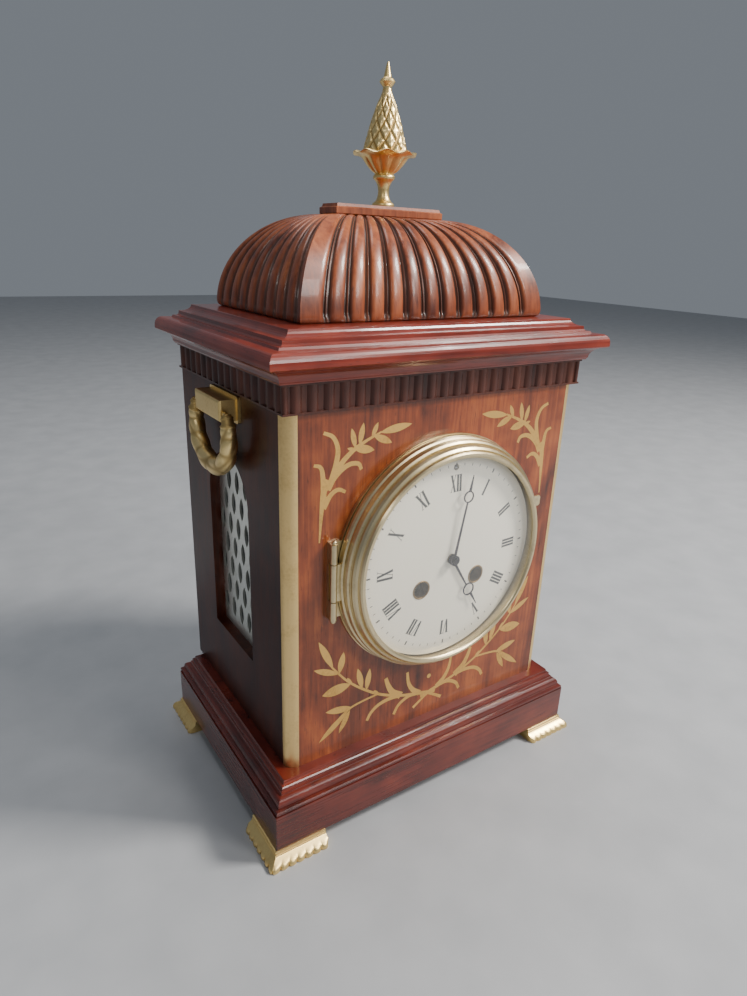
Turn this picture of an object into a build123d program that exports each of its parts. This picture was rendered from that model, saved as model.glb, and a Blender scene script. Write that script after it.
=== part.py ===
from build123d import *

import os
from math import cos, hypot, pi, radians, sin, sqrt

os.makedirs("parts", exist_ok=True)

# ---- driving dimensions, mm. X to the viewer's right, the dial faces -Y, Z up ----
case_half = 101.5          # half width over the case sides
front_y = -66.5            # polished front face
back_y = 79.7              # rear edge of the case sides
mid_y = 0.5 * (front_y + back_y)
case_bottom = 48.3
case_top = 260.3
board = 11.0               # carcase board
veneer = 1.2
strip_r = 7.0              # quarter-round brass corner

foot_half_x = 123.7
foot_half_y = 88.4
foot_leg = 38.5
foot_high = 9.2
plinth_half_x = 117.2
plinth_half_y = 81.8
plinth_top = 33.6
frame_wall = 14.0

frieze_top = 275.0
frieze_proud = 1.8
reed_pitch = 9.1
cornice_bottom = 275.6
cornice_top = 299.7

dome_half_x = 83.4
dome_half_y = 54.6
dome_top_x = 36.5
dome_top_y = 9.1
dome_bottom = 299.7
dome_top = 352.9
dome_mid_y = 6.6
lobes_front = 13
lobes_side = 8
plate_top = 358.6
tip_top = 431.6

dial_z = 166.7
hole_r = 62.0              # round hole in the front and back boards
flange_r = 73.0
flange_thick = 2.0
bezel_r = 72.5
lip_r = 62.6
bezel_back_y = -69.0
bezel_front_y = -84.0
dial_seat_y = -75.0        # rear of the enamel at its rim
glass_seat_y = -82.0
hinge_x = -75.5
hinge_y = -70.9
knuckle_r = 2.0
pin_r = 1.0
running = 0.05             # radial running clearance

plate_r = 45.0
front_plate_y = -58.5      # front face of the front plate
back_plate_y = -17.5       # rear face of the back plate
plate_thick = 2.5
wind_x = 20.8
wind_drop = 15.5
motion_dist = 12.0         # hand arbor to minute wheel stud

aperture_y = (-19.4, 39.6)
aperture_sill = 96.0
aperture_spring = 191.5
aperture_depth = 6.5       # reveal in front of the grille
rebate = 4.0               # grille plate lap round the opening

handle_z = 250.5
handle_off = 9.0           # bail pivot out from the case side
yoke_half = 18.7
bail_half = 24.8
bail_drop = 33.5
bail_r = 3.1

pendulum_y = -11.0
pendulum_z = 205.7
bob_z = 90.0


def plane_y(y):
    """Sketch plane across the front at a depth; its normal points to the front."""
    return Plane(origin=(0, y, 0), x_dir=(1, 0, 0), z_dir=(0, -1, 0))


def dial_plane(y):
    """Sketch plane centred on the dial axis, normal to the front."""
    return Plane(origin=(0, y, dial_z), x_dir=(1, 0, 0), z_dir=(0, -1, 0))


def save(part, label):
    """Name a finished solid and write it out."""
    part.label = label
    export_step(part, "parts/" + label + ".step")


def block(x0, x1, y0, y1, z0, z1, mode=Mode.ADD):
    """Axis-aligned block between limits, inside a BuildPart."""
    with Locations(((x0 + x1) / 2, (y0 + y1) / 2, (z0 + z1) / 2)):
        Box(x1 - x0, y1 - y0, z1 - z0, mode=mode)


def disc(radius, y_front, y_back, x=0.0, z=0.0, mode=Mode.ADD):
    """Cylinder along Y about a point given from the dial centre."""
    with BuildSketch(dial_plane(y_back)) as round_face:
        with Locations((x, z)):
            Circle(radius)
    extrude(round_face.sketch, amount=y_back - y_front, mode=mode)


def turned(points):
    """Solid of revolution about the dial axis from (radius, y) points."""
    with BuildPart() as piece:
        with BuildSketch(Plane(origin=(0, 0, dial_z), x_dir=(1, 0, 0), z_dir=(0, 0, 1))):
            with BuildLine():
                Polyline(*points, close=True)
            make_face()
        revolve(axis=Axis((0, 0, dial_z), (0, 1, 0)))
    return piece.part


def mitred(profile, y_front, y_back):
    """Moulding with mitred corners: profile is (half width, z); depth keeps the same overhang."""
    base = profile[0][0]
    with BuildPart() as piece:
        with BuildSketch(Plane.XZ.offset(150)):
            with BuildLine():
                Polyline(*profile, *[(-x, z) for x, z in reversed(profile)], close=True)
            make_face()
        extrude(amount=-300)
        with BuildSketch(Plane.YZ.offset(-150)):
            with BuildLine():
                rear = [(y_back + x - base, z) for x, z in profile]
                fore = [(y_front - x + base, z) for x, z in reversed(profile)]
                Polyline(*rear, *fore, close=True)
            make_face()
        extrude(amount=300, mode=Mode.INTERSECT)
    return piece.part


# ---- feet: cast brass bracket feet flaring outward to the floor ----
foot_wall = 15.0
flare = [(0.0, 9.2), (0.6, 8.6), (0.4, 7.9), (0.9, 7.2), (2.2, 5.4), (4.4, 3.4), (5.9, 2.0), (6.5, 0.6), (6.4, 0.0)]
scallops = 7


def bracket_foot(sx, sy):
    """One corner foot with a gadrooned flare on its two outer faces."""
    cx = sx * plinth_half_x
    cy = sy * plinth_half_y
    reach = foot_half_x - plinth_half_x
    with BuildPart() as leg:
        for along_x in (True, False):
            if along_x:
                plane = Plane(origin=(cx, cy, 0), x_dir=(0, sy, 0), z_dir=(-sx, 0, 0))
            else:
                plane = Plane(origin=(cx, cy, 0), x_dir=(sx, 0, 0), z_dir=(0, -sy, 0))
            up_sign = 1.0 if (plane.y_dir.Z > 0) else -1.0
            pts = [(x, up_sign * z) for x, z in flare]
            with BuildSketch(plane.offset(-reach)):
                with BuildLine():
                    Polyline((-foot_wall, up_sign * foot_high), *pts, (-foot_wall, 0), close=True)
                make_face()
            extrude(amount=foot_leg)
        corner = foot_half_x
        with BuildSketch(Plane.XY):
            with BuildLine():
                Polyline(
                    (sx * corner, sy * foot_half_y),
                    (sx * (corner - foot_leg), sy * foot_half_y),
                    (sx * (corner - foot_leg), sy * (plinth_half_y - foot_wall)),
                    (sx * (plinth_half_x - foot_wall), sy * (plinth_half_y - foot_wall)),
                    (sx * (plinth_half_x - foot_wall), sy * (foot_half_y - foot_leg)),
                    (sx * corner, sy * (foot_half_y - foot_leg)),
                    close=True,
                )
            make_face()
        extrude(amount=foot_high, mode=Mode.INTERSECT)
    # trim the two flares to a mitre at the outer corner
    outline = []
    for off, z in flare:
        outline.append((plinth_half_x + off, z))
    with BuildPart() as mitre:
        with BuildSketch(Plane.XZ.offset(150)):
            with BuildLine():
                Polyline(*outline, *[(-x, z) for x, z in reversed(outline)], close=True)
            make_face()
        extrude(amount=-300)
        with BuildSketch(Plane.YZ.offset(-150)):
            with BuildLine():
                side = [(plinth_half_y + off, z) for off, z in flare]
                Polyline(*side, *[(-y, z) for y, z in reversed(side)], close=True)
            make_face()
        extrude(amount=300, mode=Mode.INTERSECT)
    with BuildPart() as foot:
        add(leg.part)
        add(mitre.part, mode=Mode.INTERSECT)
        for i in range(scallops):
            t = foot_leg * (i + 0.5) / scallops
            for origin, out in (
                ((sx * (foot_half_x - t), sy * (foot_half_y + 0.4), 0), (0, sy, 0)),
                ((sx * (foot_half_x + 0.4), sy * (foot_half_y - t), 0), (sx, 0, 0)),
            ):
                groove = Plane(origin=origin, x_dir=(out[1], -out[0], 0), z_dir=(-out[0] * 0.75, -out[1] * 0.75, 0.66))
                with BuildSketch(groove):
                    Circle(0.8)
                extrude(amount=8.5, mode=Mode.SUBTRACT)
    return foot.part


for fx, x_name in ((-1, "left"), (1, "right")):
    for fy, y_name in ((-1, "front"), (1, "rear")):
        save(bracket_foot(fx, fy), "foot_" + y_name + "_" + x_name)

# ---- plinth and base moulding ----
with BuildPart() as base_plinth:
    block(-plinth_half_x, plinth_half_x, -plinth_half_y, plinth_half_y, foot_high, plinth_top)
    fillet(base_plinth.edges().filter_by(Axis.Z), 0.6)
    inner_x = plinth_half_x - frame_wall
    inner_y = plinth_half_y - frame_wall
    block(-inner_x, inner_x, -inner_y, inner_y, foot_high, plinth_top, mode=Mode.SUBTRACT)
    for fx in (-1, 1):
        for fy in (-1, 1):
            block(
                min(fx * inner_x, fx * (inner_x - 22)), max(fx * inner_x, fx * (inner_x - 22)),
                min(fy * inner_y, fy * (inner_y - 22)), max(fy * inner_y, fy * (inner_y - 22)),
                foot_high, plinth_top,
            )
save(base_plinth.part, "base_plinth")

base_profile = [(case_half + 14.2, plinth_top), (case_half + 15.0, 34.2), (case_half + 15.0, 35.4)]
base_profile += [(case_half + 14.4, 36.2), (case_half + 12.9, 36.6), (case_half + 12.9, 37.4)]
base_profile += [(case_half + 12.9 - 3.4 * (1 - cos(radians(a))), 37.4 + 4.2 * sin(radians(a))) for a in range(15, 91, 15)]
base_profile += [(case_half + 8.8, 41.9), (case_half + 9.1, 42.6), (case_half + 8.7, 43.4), (case_half + 7.9, 43.7)]
base_profile += [(case_half + 7.7, 44.4), (case_half + 8.0, 45.1), (case_half + 7.4, 45.8), (case_half + 6.2, 46.1)]
base_profile += [(case_half + 6.0, 46.7), (case_half + 6.2, 47.3), (case_half + 5.6, case_bottom)]
moulding_front = front_y - 14.2
moulding_back = 81.8
with BuildPart() as base_moulding:
    add(mitred(base_profile, moulding_front, moulding_back))
    block(-96, 96, front_y + 4, 71, plinth_top, case_bottom, mode=Mode.SUBTRACT)
save(base_moulding.part, "base_moulding")

with BuildPart() as bottom_board:
    block(-96, 96, front_y + 4, 71, case_bottom - 10, case_bottom)
save(bottom_board.part, "bottom_board")


# ---- case sides with an arched sound opening ----
def aperture_face(grow=0.0):
    """Outline of the round-headed opening, drawn in (y, z)."""
    y0 = aperture_y[0] - grow
    y1 = aperture_y[1] + grow
    sill = aperture_sill - grow
    top = aperture_spring + 0.5 * (y1 - y0)
    with BuildLine(mode=Mode.PRIVATE) as arch:
        Line((y0, aperture_spring), (y0, sill))
        Line((y0, sill), (y1, sill))
        Line((y1, sill), (y1, aperture_spring))
        ThreePointArc((y1, aperture_spring), (0.5 * (y0 + y1), top), (y0, aperture_spring))
    add(make_face(arch.edges(), mode=Mode.PRIVATE))


grille_t = 1.5
fret_y = 12.0              # pitch of the fret openings across
fret_z = 30.0              # pitch of the fret openings up one column
lens_w = 6.2
lens_h = 15.0


def fret_centres():
    """Staggered centres of the pointed openings that fit inside the arch."""
    mid = 0.5 * (aperture_y[0] + aperture_y[1])
    reach = 0.5 * (aperture_y[1] - aperture_y[0])
    spots = []
    for i in range(-6, 10):
        for j in range(3, 8):
            for shift in (0.0, 0.5):
                y = 5.7 + fret_y * (i + shift)
                z = 6.0 + fret_z * (j + shift)
                side = abs(y - mid) + 0.5 * lens_w
                if side > reach - 0.4 or z - 0.5 * lens_h < aperture_sill + 0.4:
                    continue
                if z + 0.5 * lens_h < aperture_spring + sqrt(reach ** 2 - side ** 2):
                    spots.append((y, z))
    return spots


for sx, side_name in ((-1, "left"), (1, "right")):
    x_out = sx * case_half
    x_in = sx * (case_half - board)
    with BuildPart() as case_side:
        block(min(x_out, x_in), max(x_out, x_in), front_y + board, back_y, case_bottom, case_top)
        strip_in = sx * (case_half - strip_r)
        block(min(x_out, strip_in), max(x_out, strip_in), front_y + strip_r, front_y + board, case_bottom, case_top)
        with BuildSketch(Plane.YZ.offset(min(x_out, x_in) - 1)):
            aperture_face()
        extrude(amount=board + 2, mode=Mode.SUBTRACT)
        rebate_x = min(x_out - sx * aperture_depth, x_out - sx * (board + 1))
        with BuildSketch(Plane.YZ.offset(rebate_x)):
            aperture_face(rebate)
        extrude(amount=board + 1 - aperture_depth, mode=Mode.SUBTRACT)
    save(case_side.part, side_name + "_side")

    # convex brass strip in the front corner
    with BuildPart() as corner_strip:
        with BuildSketch(Plane.XY.offset(case_bottom)):
            cx = sx * (case_half - strip_r)
            cy = front_y + strip_r
            with BuildLine():
                Line((cx, cy), (sx * case_half, cy))
                ThreePointArc(
                    (sx * case_half, cy),
                    (cx + sx * strip_r * cos(pi / 4), cy - strip_r * sin(pi / 4)),
                    (cx, front_y),
                )
                Line((cx, front_y), (cx, cy))
            make_face()
        extrude(amount=case_top - case_bottom)
    save(corner_strip.part, "corner_strip_" + side_name)

    # pierced brass grille and the cloth behind it, let into a rebate round the opening
    gx0 = sx * (case_half - aperture_depth)
    gx1 = gx0 - sx * grille_t
    with BuildPart() as side_grille:
        with BuildSketch(Plane.YZ.offset(min(gx0, gx1))):
            aperture_face(rebate)
        extrude(amount=grille_t)
        with BuildSketch(Plane.YZ.offset(min(gx0, gx1) - 0.5)):
            with Locations(*fret_centres()):
                with BuildLine(mode=Mode.PRIVATE) as lens_edge:
                    ThreePointArc((0, -lens_h / 2), (lens_w / 2, 0), (0, lens_h / 2))
                    ThreePointArc((0, lens_h / 2), (-lens_w / 2, 0), (0, -lens_h / 2))
                add(make_face(lens_edge.edges(), mode=Mode.PRIVATE))
        extrude(amount=grille_t + 1, mode=Mode.SUBTRACT)
    save(side_grille.part, "side_grille_" + side_name)

    with BuildPart() as cloth:
        with BuildSketch(Plane.YZ.offset(min(gx1, gx1 - sx * 0.8))):
            aperture_face(rebate)
        extrude(amount=0.8)
    save(cloth.part, "grille_cloth_" + side_name)

    # handle yoke: a back plate and a bored block
    hx = sx * (case_half + handle_off)
    with BuildPart() as yoke:
        plate_x = x_out + sx * 1.6
        block_x = x_out + sx * 11.5
        y_a = mid_y - yoke_half
        y_b = mid_y + yoke_half
        block(min(x_out, plate_x), max(x_out, plate_x), y_a - 1.5, y_b + 1.5, handle_z - 6.5, handle_z + 8.5)
        fillet(yoke.edges().filter_by(Axis.X), 1.5)
        block(min(x_out, block_x), max(x_out, block_x), y_a, y_b, handle_z - 4.8, handle_z + 7)
        fillet(yoke.faces().sort_by(Axis.X)[-1 if sx > 0 else 0].edges(), 1.4)
        with BuildSketch(Plane.XZ.offset(-y_b - 1)):
            with Locations((hx, handle_z)):
                Circle(1.3 + running)
        extrude(amount=2 * yoke_half + 2, mode=Mode.SUBTRACT)
    save(yoke.part, "handle_yoke_" + side_name)

    # loop handle: straight pivot bar through the yoke and an oval drop
    with BuildPart() as bail:
        with BuildLine(Plane(origin=(hx, mid_y, handle_z), x_dir=(0, 1, 0), z_dir=(1, 0, 0))) as drop:
            Spline(
                (-22.4, 0.4), (-24.2, -4.4), (-bail_half, -10), (-24.0, -17), (-20.6, -24.5), (-12.5, -31),
                (0, -bail_drop),
                (12.5, -31), (20.6, -24.5), (24.0, -17), (bail_half, -10), (24.2, -4.4), (22.4, 0.4),
            )
        with BuildSketch(Plane(origin=drop.wire() @ 0, z_dir=drop.wire() % 0)):
            Circle(bail_r)
        sweep()
        with BuildSketch(Plane.XZ.offset(-mid_y - 22.6)):
            with Locations((hx, handle_z)):
                Circle(1.3)
        extrude(amount=45.2)
    save(bail.part, "bail_" + side_name)

# ---- front board, veneer and flush brass inlay ----
with BuildPart() as front_panel:
    half = case_half - strip_r
    block(-half, half, front_y + veneer, front_y + board, case_bottom, case_top)
    disc(hole_r, front_y - 1, front_y + board + 1, mode=Mode.SUBTRACT)
save(front_panel.part, "front_panel")


def leaf(x0, z0, x1, z1, width):
    """Pointed leaf from its stalk end to its tip."""
    dx = x1 - x0
    dz = z1 - z0
    length = hypot(dx, dz)
    nx = -dz / length * width / 2
    nz = dx / length * width / 2
    mx = x0 + 0.45 * dx
    mz = z0 + 0.45 * dz
    with BuildLine(Plane.XY, mode=Mode.PRIVATE) as edge:
        ThreePointArc((x0, z0), (mx + nx, mz + nz), (x1, z1))
        ThreePointArc((x1, z1), (mx - nx, mz - nz), (x0, z0))
    add(make_face(edge.edges(), mode=Mode.PRIVATE))


def smooth(points, steps):
    """Catmull-Rom curve through points, as (x, z, dx, dz)."""
    ends = [(2 * points[0][k] - points[1][k]) for k in (0, 1)]
    tail = [(2 * points[-1][k] - points[-2][k]) for k in (0, 1)]
    chain = [tuple(ends)] + list(points) + [tuple(tail)]
    out = []
    for j in range(len(points) - 1):
        p0, p1, p2, p3 = chain[j:j + 4]
        count = steps + 1 if j == len(points) - 2 else steps
        for i in range(count):
            t = i / steps
            pos = []
            vel = []
            for k in (0, 1):
                b1 = p2[k] - p0[k]
                b2 = 2 * p0[k] - 5 * p1[k] + 4 * p2[k] - p3[k]
                b3 = 3 * p1[k] - p0[k] - 3 * p2[k] + p3[k]
                pos.append(0.5 * (2 * p1[k] + b1 * t + b2 * t * t + b3 * t ** 3))
                vel.append(0.5 * (b1 + 2 * b2 * t + 3 * b3 * t * t))
            out.append((pos[0], pos[1], vel[0], vel[1]))
    return out


def stem(points, w_start, w_end):
    """Tapering curved stem through hand-set points."""
    left = []
    right = []
    line = smooth(points, 5)
    for i, (x, z, dx, dz) in enumerate(line):
        w = 0.5 * (w_start + (w_end - w_start) * i / (len(line) - 1))
        length = hypot(dx, dz)
        left.append((x - dz / length * w, z + dx / length * w))
        right.append((x + dz / length * w, z - dx / length * w))
    with BuildLine(Plane.XY, mode=Mode.PRIVATE) as edge:
        Polyline(*left, *reversed(right), close=True)
    add(make_face(edge.edges(), mode=Mode.PRIVATE))


# corner spray, drawn for the left side and mirrored by sign s
spray_stems = (
    (((-82, 190), (-81, 205), (-79.6, 218), (-76.5, 224)), 0.8, 5.0),
    (((-79.6, 214), (-80.2, 226), (-81.6, 231.6), (-85.5, 233.2)), 3.4, 1.6),
    (((-76, 221), (-72.6, 232), (-71.6, 240), (-74.5, 246.6), (-80, 249.4)), 3.6, 1.8),
    (((-77.5, 219), (-70.5, 230.6), (-63, 237.6), (-55, 242), (-45, 246)), 4.2, 1.0),
    (((-77, 221), (-70.5, 227.6), (-64.5, 230.8), (-59, 230.4), (-57, 227)), 3.4, 2.0),
    (((-79.8, 209), (-75.6, 215.6), (-71, 218), (-66.5, 216)), 3.4, 1.8),
)
spray_leaves = (
    (-61.0, 239.0, -63.6, 250.0, 3.2),
    (-58.6, 240.4, -56.4, 252.2, 3.4),
    (-62.0, 239.2, -49.2, 236.6, 4.6),
    (-51.0, 243.6, -47.4, 251.4, 2.8),
    (-50.0, 244.6, -38.0, 239.2, 4.0),
    (-46.0, 245.6, -25.2, 248.2, 4.4),
    (-60.5, 238.0, -66.0, 239.6, 2.0),
)
# lower branch, left half
branch_stems = (
    (((6, 63.6), (-8, 67), (-22, 70.6), (-38, 77.6), (-51, 86.4), (-62, 96), (-70, 105.6), (-75.4, 113)), 2.4, 1.0),
    (((-40, 78.6), (-52, 77.6), (-61, 75.6), (-70, 69.6)), 1.4, 1.6),
    (((-24, 71.2), (-31, 71.6), (-39, 70.2), (-44.6, 66.4), (-47.4, 61.6)), 3.0, 2.2),
    (((-8, 67.2), (-16, 67.6), (-23.5, 63.8), (-27, 58)), 2.8, 2.2),
    (((-22, 70.6), (-28.6, 75.6), (-32.2, 81.6), (-34.4, 88)), 5.0, 2.4),
    (((-7, 66.8), (-12.8, 71.6), (-16.4, 78), (-17.8, 86.4)), 4.0, 1.8),
    (((8, 66.4), (0, 64), (-6, 60.6), (-11.6, 57)), 1.4, 2.2),
)
branch_leaves = (
    (-72.2, 108.6, -82.0, 129.4, 4.2),
    (-68.4, 103.4, -85.0, 111.6, 4.0),
    (-68.0, 103.6, -65.4, 117.4, 4.4),
    (-60.0, 93.4, -79.4, 92.2, 7.0),
    (-51.6, 87.0, -55.4, 102.6, 4.0),
    (-48.6, 84.6, -46.6, 99.6, 4.0),
    (-58.4, 76.0, -77.0, 79.6, 4.8),
    (-61.0, 75.0, -81.4, 59.4, 4.2),
    (-60.0, 75.0, -67.6, 60.6, 3.8),
    (-39.0, 78.0, -43.0, 82.4, 1.8),
    (-59.0, 93.0, -62.6, 98.6, 1.8),
)


def inlay_sketch(s, stems, leaves):
    """Stems and leaves on one side; s is 1 for the left side and -1 for its mirror."""
    for points, w0, w1 in stems:
        stem([(s * x, z) for x, z in points], w0, w1)
    for x0, z0, x1, z1, w in leaves:
        leaf(s * x0, z0, s * x1, z1, w)


def inlay(kinds):
    """Brass inlay the thickness of the veneer."""
    with BuildPart() as piece:
        with BuildSketch(plane_y(front_y + veneer)):
            for s, stems, leaves in kinds:
                inlay_sketch(s, stems, leaves)
            if len(kinds) > 1:
                with Locations((0, 77.4)):
                    Circle(1.6)
        extrude(amount=veneer)
    return piece.part


inlay_top_left = inlay(((1, spray_stems, spray_leaves),))
inlay_top_right = inlay(((-1, spray_stems, spray_leaves),))
inlay_bottom = inlay(((1, branch_stems, branch_leaves), (-1, branch_stems, branch_leaves)))
save(inlay_top_left, "inlay_top_left")
save(inlay_top_right, "inlay_top_right")
save(inlay_bottom, "inlay_bottom")

with BuildPart() as front_veneer:
    block(-half, half, front_y, front_y + veneer, case_bottom, case_top)
    disc(hole_r, front_y - 1, front_y + board + 1, mode=Mode.SUBTRACT)
    add(inlay_top_left, mode=Mode.SUBTRACT)
    add(inlay_top_right, mode=Mode.SUBTRACT)
    add(inlay_bottom, mode=Mode.SUBTRACT)
save(front_veneer.part, "front_veneer")

# ---- top board, reeded frieze, cornice ----
with BuildPart() as top_board:
    block(-case_half + board, case_half - board, front_y + board, back_y - board, case_top - 10, case_top)
save(top_board.part, "top_board")

with BuildPart() as frieze:
    body_x = case_half + 0.4
    body_front = front_y - 0.4
    block(-body_x, body_x, body_front, back_y, case_top, cornice_bottom)
    block(-body_x - 1.4, body_x + 1.4, body_front - 1.4, back_y, case_top, case_top + 1.0)
    block(-body_x - 1.6, body_x + 1.6, body_front - 1.6, back_y, frieze_top - 0.6, cornice_bottom)
    reed_r = 0.5 * reed_pitch - 0.4
    sink = reed_r - 1.4
    reed_half = 0.5 * (frieze_top - case_top)
    spots = [((i - 10.5) * reed_pitch, body_front + sink) for i in range(22)]
    for j in range(16):
        y = body_front + 6.2 + j * reed_pitch * 0.995
        spots += [(-body_x + sink, y), (body_x - sink, y)]
    with Locations(*[(x, y, case_top + reed_half) for x, y in spots]):
        Cylinder(reed_r, 2 * reed_half)
    for sx in (-1, 1):
        with Locations((sx * (body_x - 0.4), body_front + 0.4, case_top + reed_half)):
            Cylinder(1.6, 2 * reed_half)
    block(-body_x + 13, body_x - 13, body_front + 13, back_y - 11, case_top, cornice_bottom, mode=Mode.SUBTRACT)
save(frieze.part, "frieze")

cornice_profile = [(105.2, cornice_bottom), (105.6, 276.4)]
cornice_profile += [(113.4 - 7.4 * cos(radians(a)), 276.8 + 6.6 * sin(radians(a))) for a in range(0, 76, 15)]
cornice_profile += [(113.5, 283.4), (114.4, 284.2), (114.4, 285.8)]
cornice_profile += [(110.6 + 3.8 * cos(radians(a)), 286.0 + 5.4 * sin(radians(a))) for a in range(15, 91, 15)]
cornice_profile += [(106.0, 291.6), (105.4, 292.8), (103.4, 293.0), (102.6, 293.8), (102.4, 295.6)]
cornice_profile += [(96.4 + 6.0 * (1 - sin(radians(a))), 299.5 - 3.9 * cos(radians(a))) for a in range(15, 91, 15)]
cornice_profile += [(95.8, cornice_top)]
cornice_front = -(105.2 - 35.4)
cornice_back = 105.2 - 26.0
with BuildPart() as cornice_moulding:
    add(mitred(cornice_profile, cornice_front, cornice_back))
    block(-72, 72, -38, 51, cornice_bottom, cornice_top, mode=Mode.SUBTRACT)
save(cornice_moulding.part, "cornice_moulding")


# ---- gadrooned hipped dome ----
def scallop_edges(half_x, half_y, depth):
    """Outline with convex lobes on all four sides and plain corners."""
    corner = 0.055 * half_x + 1.2
    runs = (
        ((-half_x, -half_y), (1, 0), 2 * half_x, lobes_front, (0, -1)),
        ((half_x, -half_y), (0, 1), 2 * half_y, lobes_side, (1, 0)),
        ((half_x, half_y), (-1, 0), 2 * half_x, lobes_front, (0, 1)),
        ((-half_x, half_y), (0, -1), 2 * half_y, lobes_side, (-1, 0)),
    )
    for (x, y), (dx, dy), length, count, (nx, ny) in runs:
        lead = min(corner, 0.12 * length)
        step = (length - 2 * lead) / count
        last = (x + dx * lead, y + dy * lead)
        Line((x, y), last)
        for i in range(count):
            a = lead + step * (i + 1)
            m = lead + step * (i + 0.5)
            end = (x + dx * a, y + dy * a)
            bulge = (x + dx * m + nx * depth, y + dy * m + ny * depth)
            ThreePointArc(last, bulge, end)
            last = end
        Line(last, (x + dx * length, y + dy * length))


levels = 9
with BuildPart() as gadrooned_dome:
    for k in range(levels):
        t = k / (levels - 1)
        angle = radians(90 * t)
        c = cos(angle)
        z = dome_bottom + (dome_top - dome_bottom) * sin(angle)
        hx = dome_top_x + (dome_half_x - dome_top_x) * c - 1.4
        hy = dome_top_y + (dome_half_y - dome_top_y) * c - 1.4
        with BuildSketch(Plane.XY.offset(z)):
            with Locations((0, dome_mid_y)):
                with BuildLine(mode=Mode.PRIVATE) as outline:
                    scallop_edges(hx, hy, 0.6 + 1.4 * c)
                add(make_face(outline.edges(), mode=Mode.PRIVATE))
    loft(ruled=True)
    block(-70, 70, dome_mid_y - 42, dome_mid_y + 42, dome_bottom, dome_bottom + 18, mode=Mode.SUBTRACT)
    with Locations((0, dome_mid_y, dome_bottom + 35)):
        Cylinder(2.1, 60, mode=Mode.SUBTRACT)
save(gadrooned_dome.part, "gadrooned_dome")

plate_profile = [(36.5, dome_top), (37.0, dome_top + 0.6), (37.0, dome_top + 3.6), (36.0, dome_top + 4.2), (35.6, plate_top)]
with BuildPart() as dome_plate:
    add(mitred(plate_profile, dome_mid_y - 9.1, dome_mid_y + 9.1))
    with Locations((0, dome_mid_y, dome_top + 3)):
        Cylinder(2.1, 12, mode=Mode.SUBTRACT)
save(dome_plate.part, "dome_plate")

# ---- finial: foot and fluted cup, pineapple, tip, and its rod ----
axis_plane = Plane(origin=(0, dome_mid_y, 0), x_dir=(1, 0, 0), z_dir=(0, -1, 0))


def spun(points):
    """Solid turned about the finial's vertical axis from (radius, z) points."""
    with BuildSketch(axis_plane) as half_section:
        with BuildLine():
            Polyline(*points, close=True)
        make_face()
    revolve(half_section.sketch, axis=Axis((0, dome_mid_y, 0), (0, 0, 1)))


z0 = plate_top
petals = 10
with BuildPart() as finial_cup:
    spun([
        (0, z0), (6.4, z0), (6.4, z0 + 1.2), (5.2, z0 + 2.2), (4.0, z0 + 4.6), (3.1, z0 + 8.0), (3.0, z0 + 11.4),
        (4.2, z0 + 12.6), (6.0, z0 + 14.0), (6.5, z0 + 15.6), (5.8, z0 + 17.2), (7.0, z0 + 19.0), (10.4, z0 + 22.0),
        (14.6, z0 + 24.8), (18.6, z0 + 26.4), (19.2, z0 + 27.4), (18.0, z0 + 28.4), (12.0, z0 + 28.9),
        (0, z0 + 28.9),
    ])
    for i in range(petals):
        a = 2 * pi * (i + 0.5) / petals
        with Locations((20.2 * cos(a), dome_mid_y + 20.2 * sin(a), z0 + 24)):
            Cylinder(2.6, 14, mode=Mode.SUBTRACT)
    with Locations((0, dome_mid_y, z0 + 14)):
        Cylinder(2.1, 30, mode=Mode.SUBTRACT)
save(finial_cup.part, "finial_cup")

with BuildPart() as finial_pineapple:
    zb = z0 + 28.9
    cone = [(0, zb), (11.5, zb)]
    for i in range(8):
        r = 13.6 - 10.4 * (i / 8) ** 1.25
        zz = zb + 1.6 + 3.6 * i
        cone += [(r, zz), (r - 0.2, zz + 1.7), (r - 1.5, zz + 2.9)]
    cone += [(2.8, zb + 30.6), (0, zb + 30.6)]
    spun(cone)
    with Locations((0, dome_mid_y, zb + 8)):
        Cylinder(2.1, 28, mode=Mode.SUBTRACT)
save(finial_pineapple.part, "finial_pineapple")

with BuildPart() as finial_tip:
    zt = z0 + 28.9 + 30.6
    spun([
        (0, zt), (2.6, zt), (2.2, zt + 1.2), (3.4, zt + 2.6), (4.4, zt + 3.9), (3.6, zt + 5.2), (2.2, zt + 6.2),
        (1.8, zt + 8.0), (1.0, zt + 11.5), (0.4, tip_top), (0, tip_top),
    ])
save(finial_tip.part, "finial_tip")

with BuildPart() as finial_rod:
    with Locations((0, dome_mid_y, 0.5 * (dome_bottom + 18 + zb + 18))):
        Cylinder(2.0, zb + 18 - dome_bottom - 14)
    with BuildSketch(Plane.XY.offset(dome_bottom + 14.2)):
        with Locations((0, dome_mid_y)):
            RegularPolygon(4.2, 6)
    extrude(amount=3.4)
save(finial_rod.part, "finial_rod")

# ---- back board, rear ring and round rear door ----
with BuildPart() as back_panel:
    block(-case_half + board, case_half - board, back_y - board + 1.3, back_y, case_bottom, case_top)
    disc(hole_r, back_y - board - 1, back_y + 1, mode=Mode.SUBTRACT)
save(back_panel.part, "back_panel")

with BuildPart() as back_screws:
    for px, pz in ((-84, 60), (84, 60), (-84, 248), (84, 248), (-84, 154), (84, 154)):
        with BuildSketch(plane_y(back_y)):
            with Locations((px, pz)):
                Circle(3.0)
        extrude(amount=-0.8)
save(back_screws.part, "back_screws")

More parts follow.
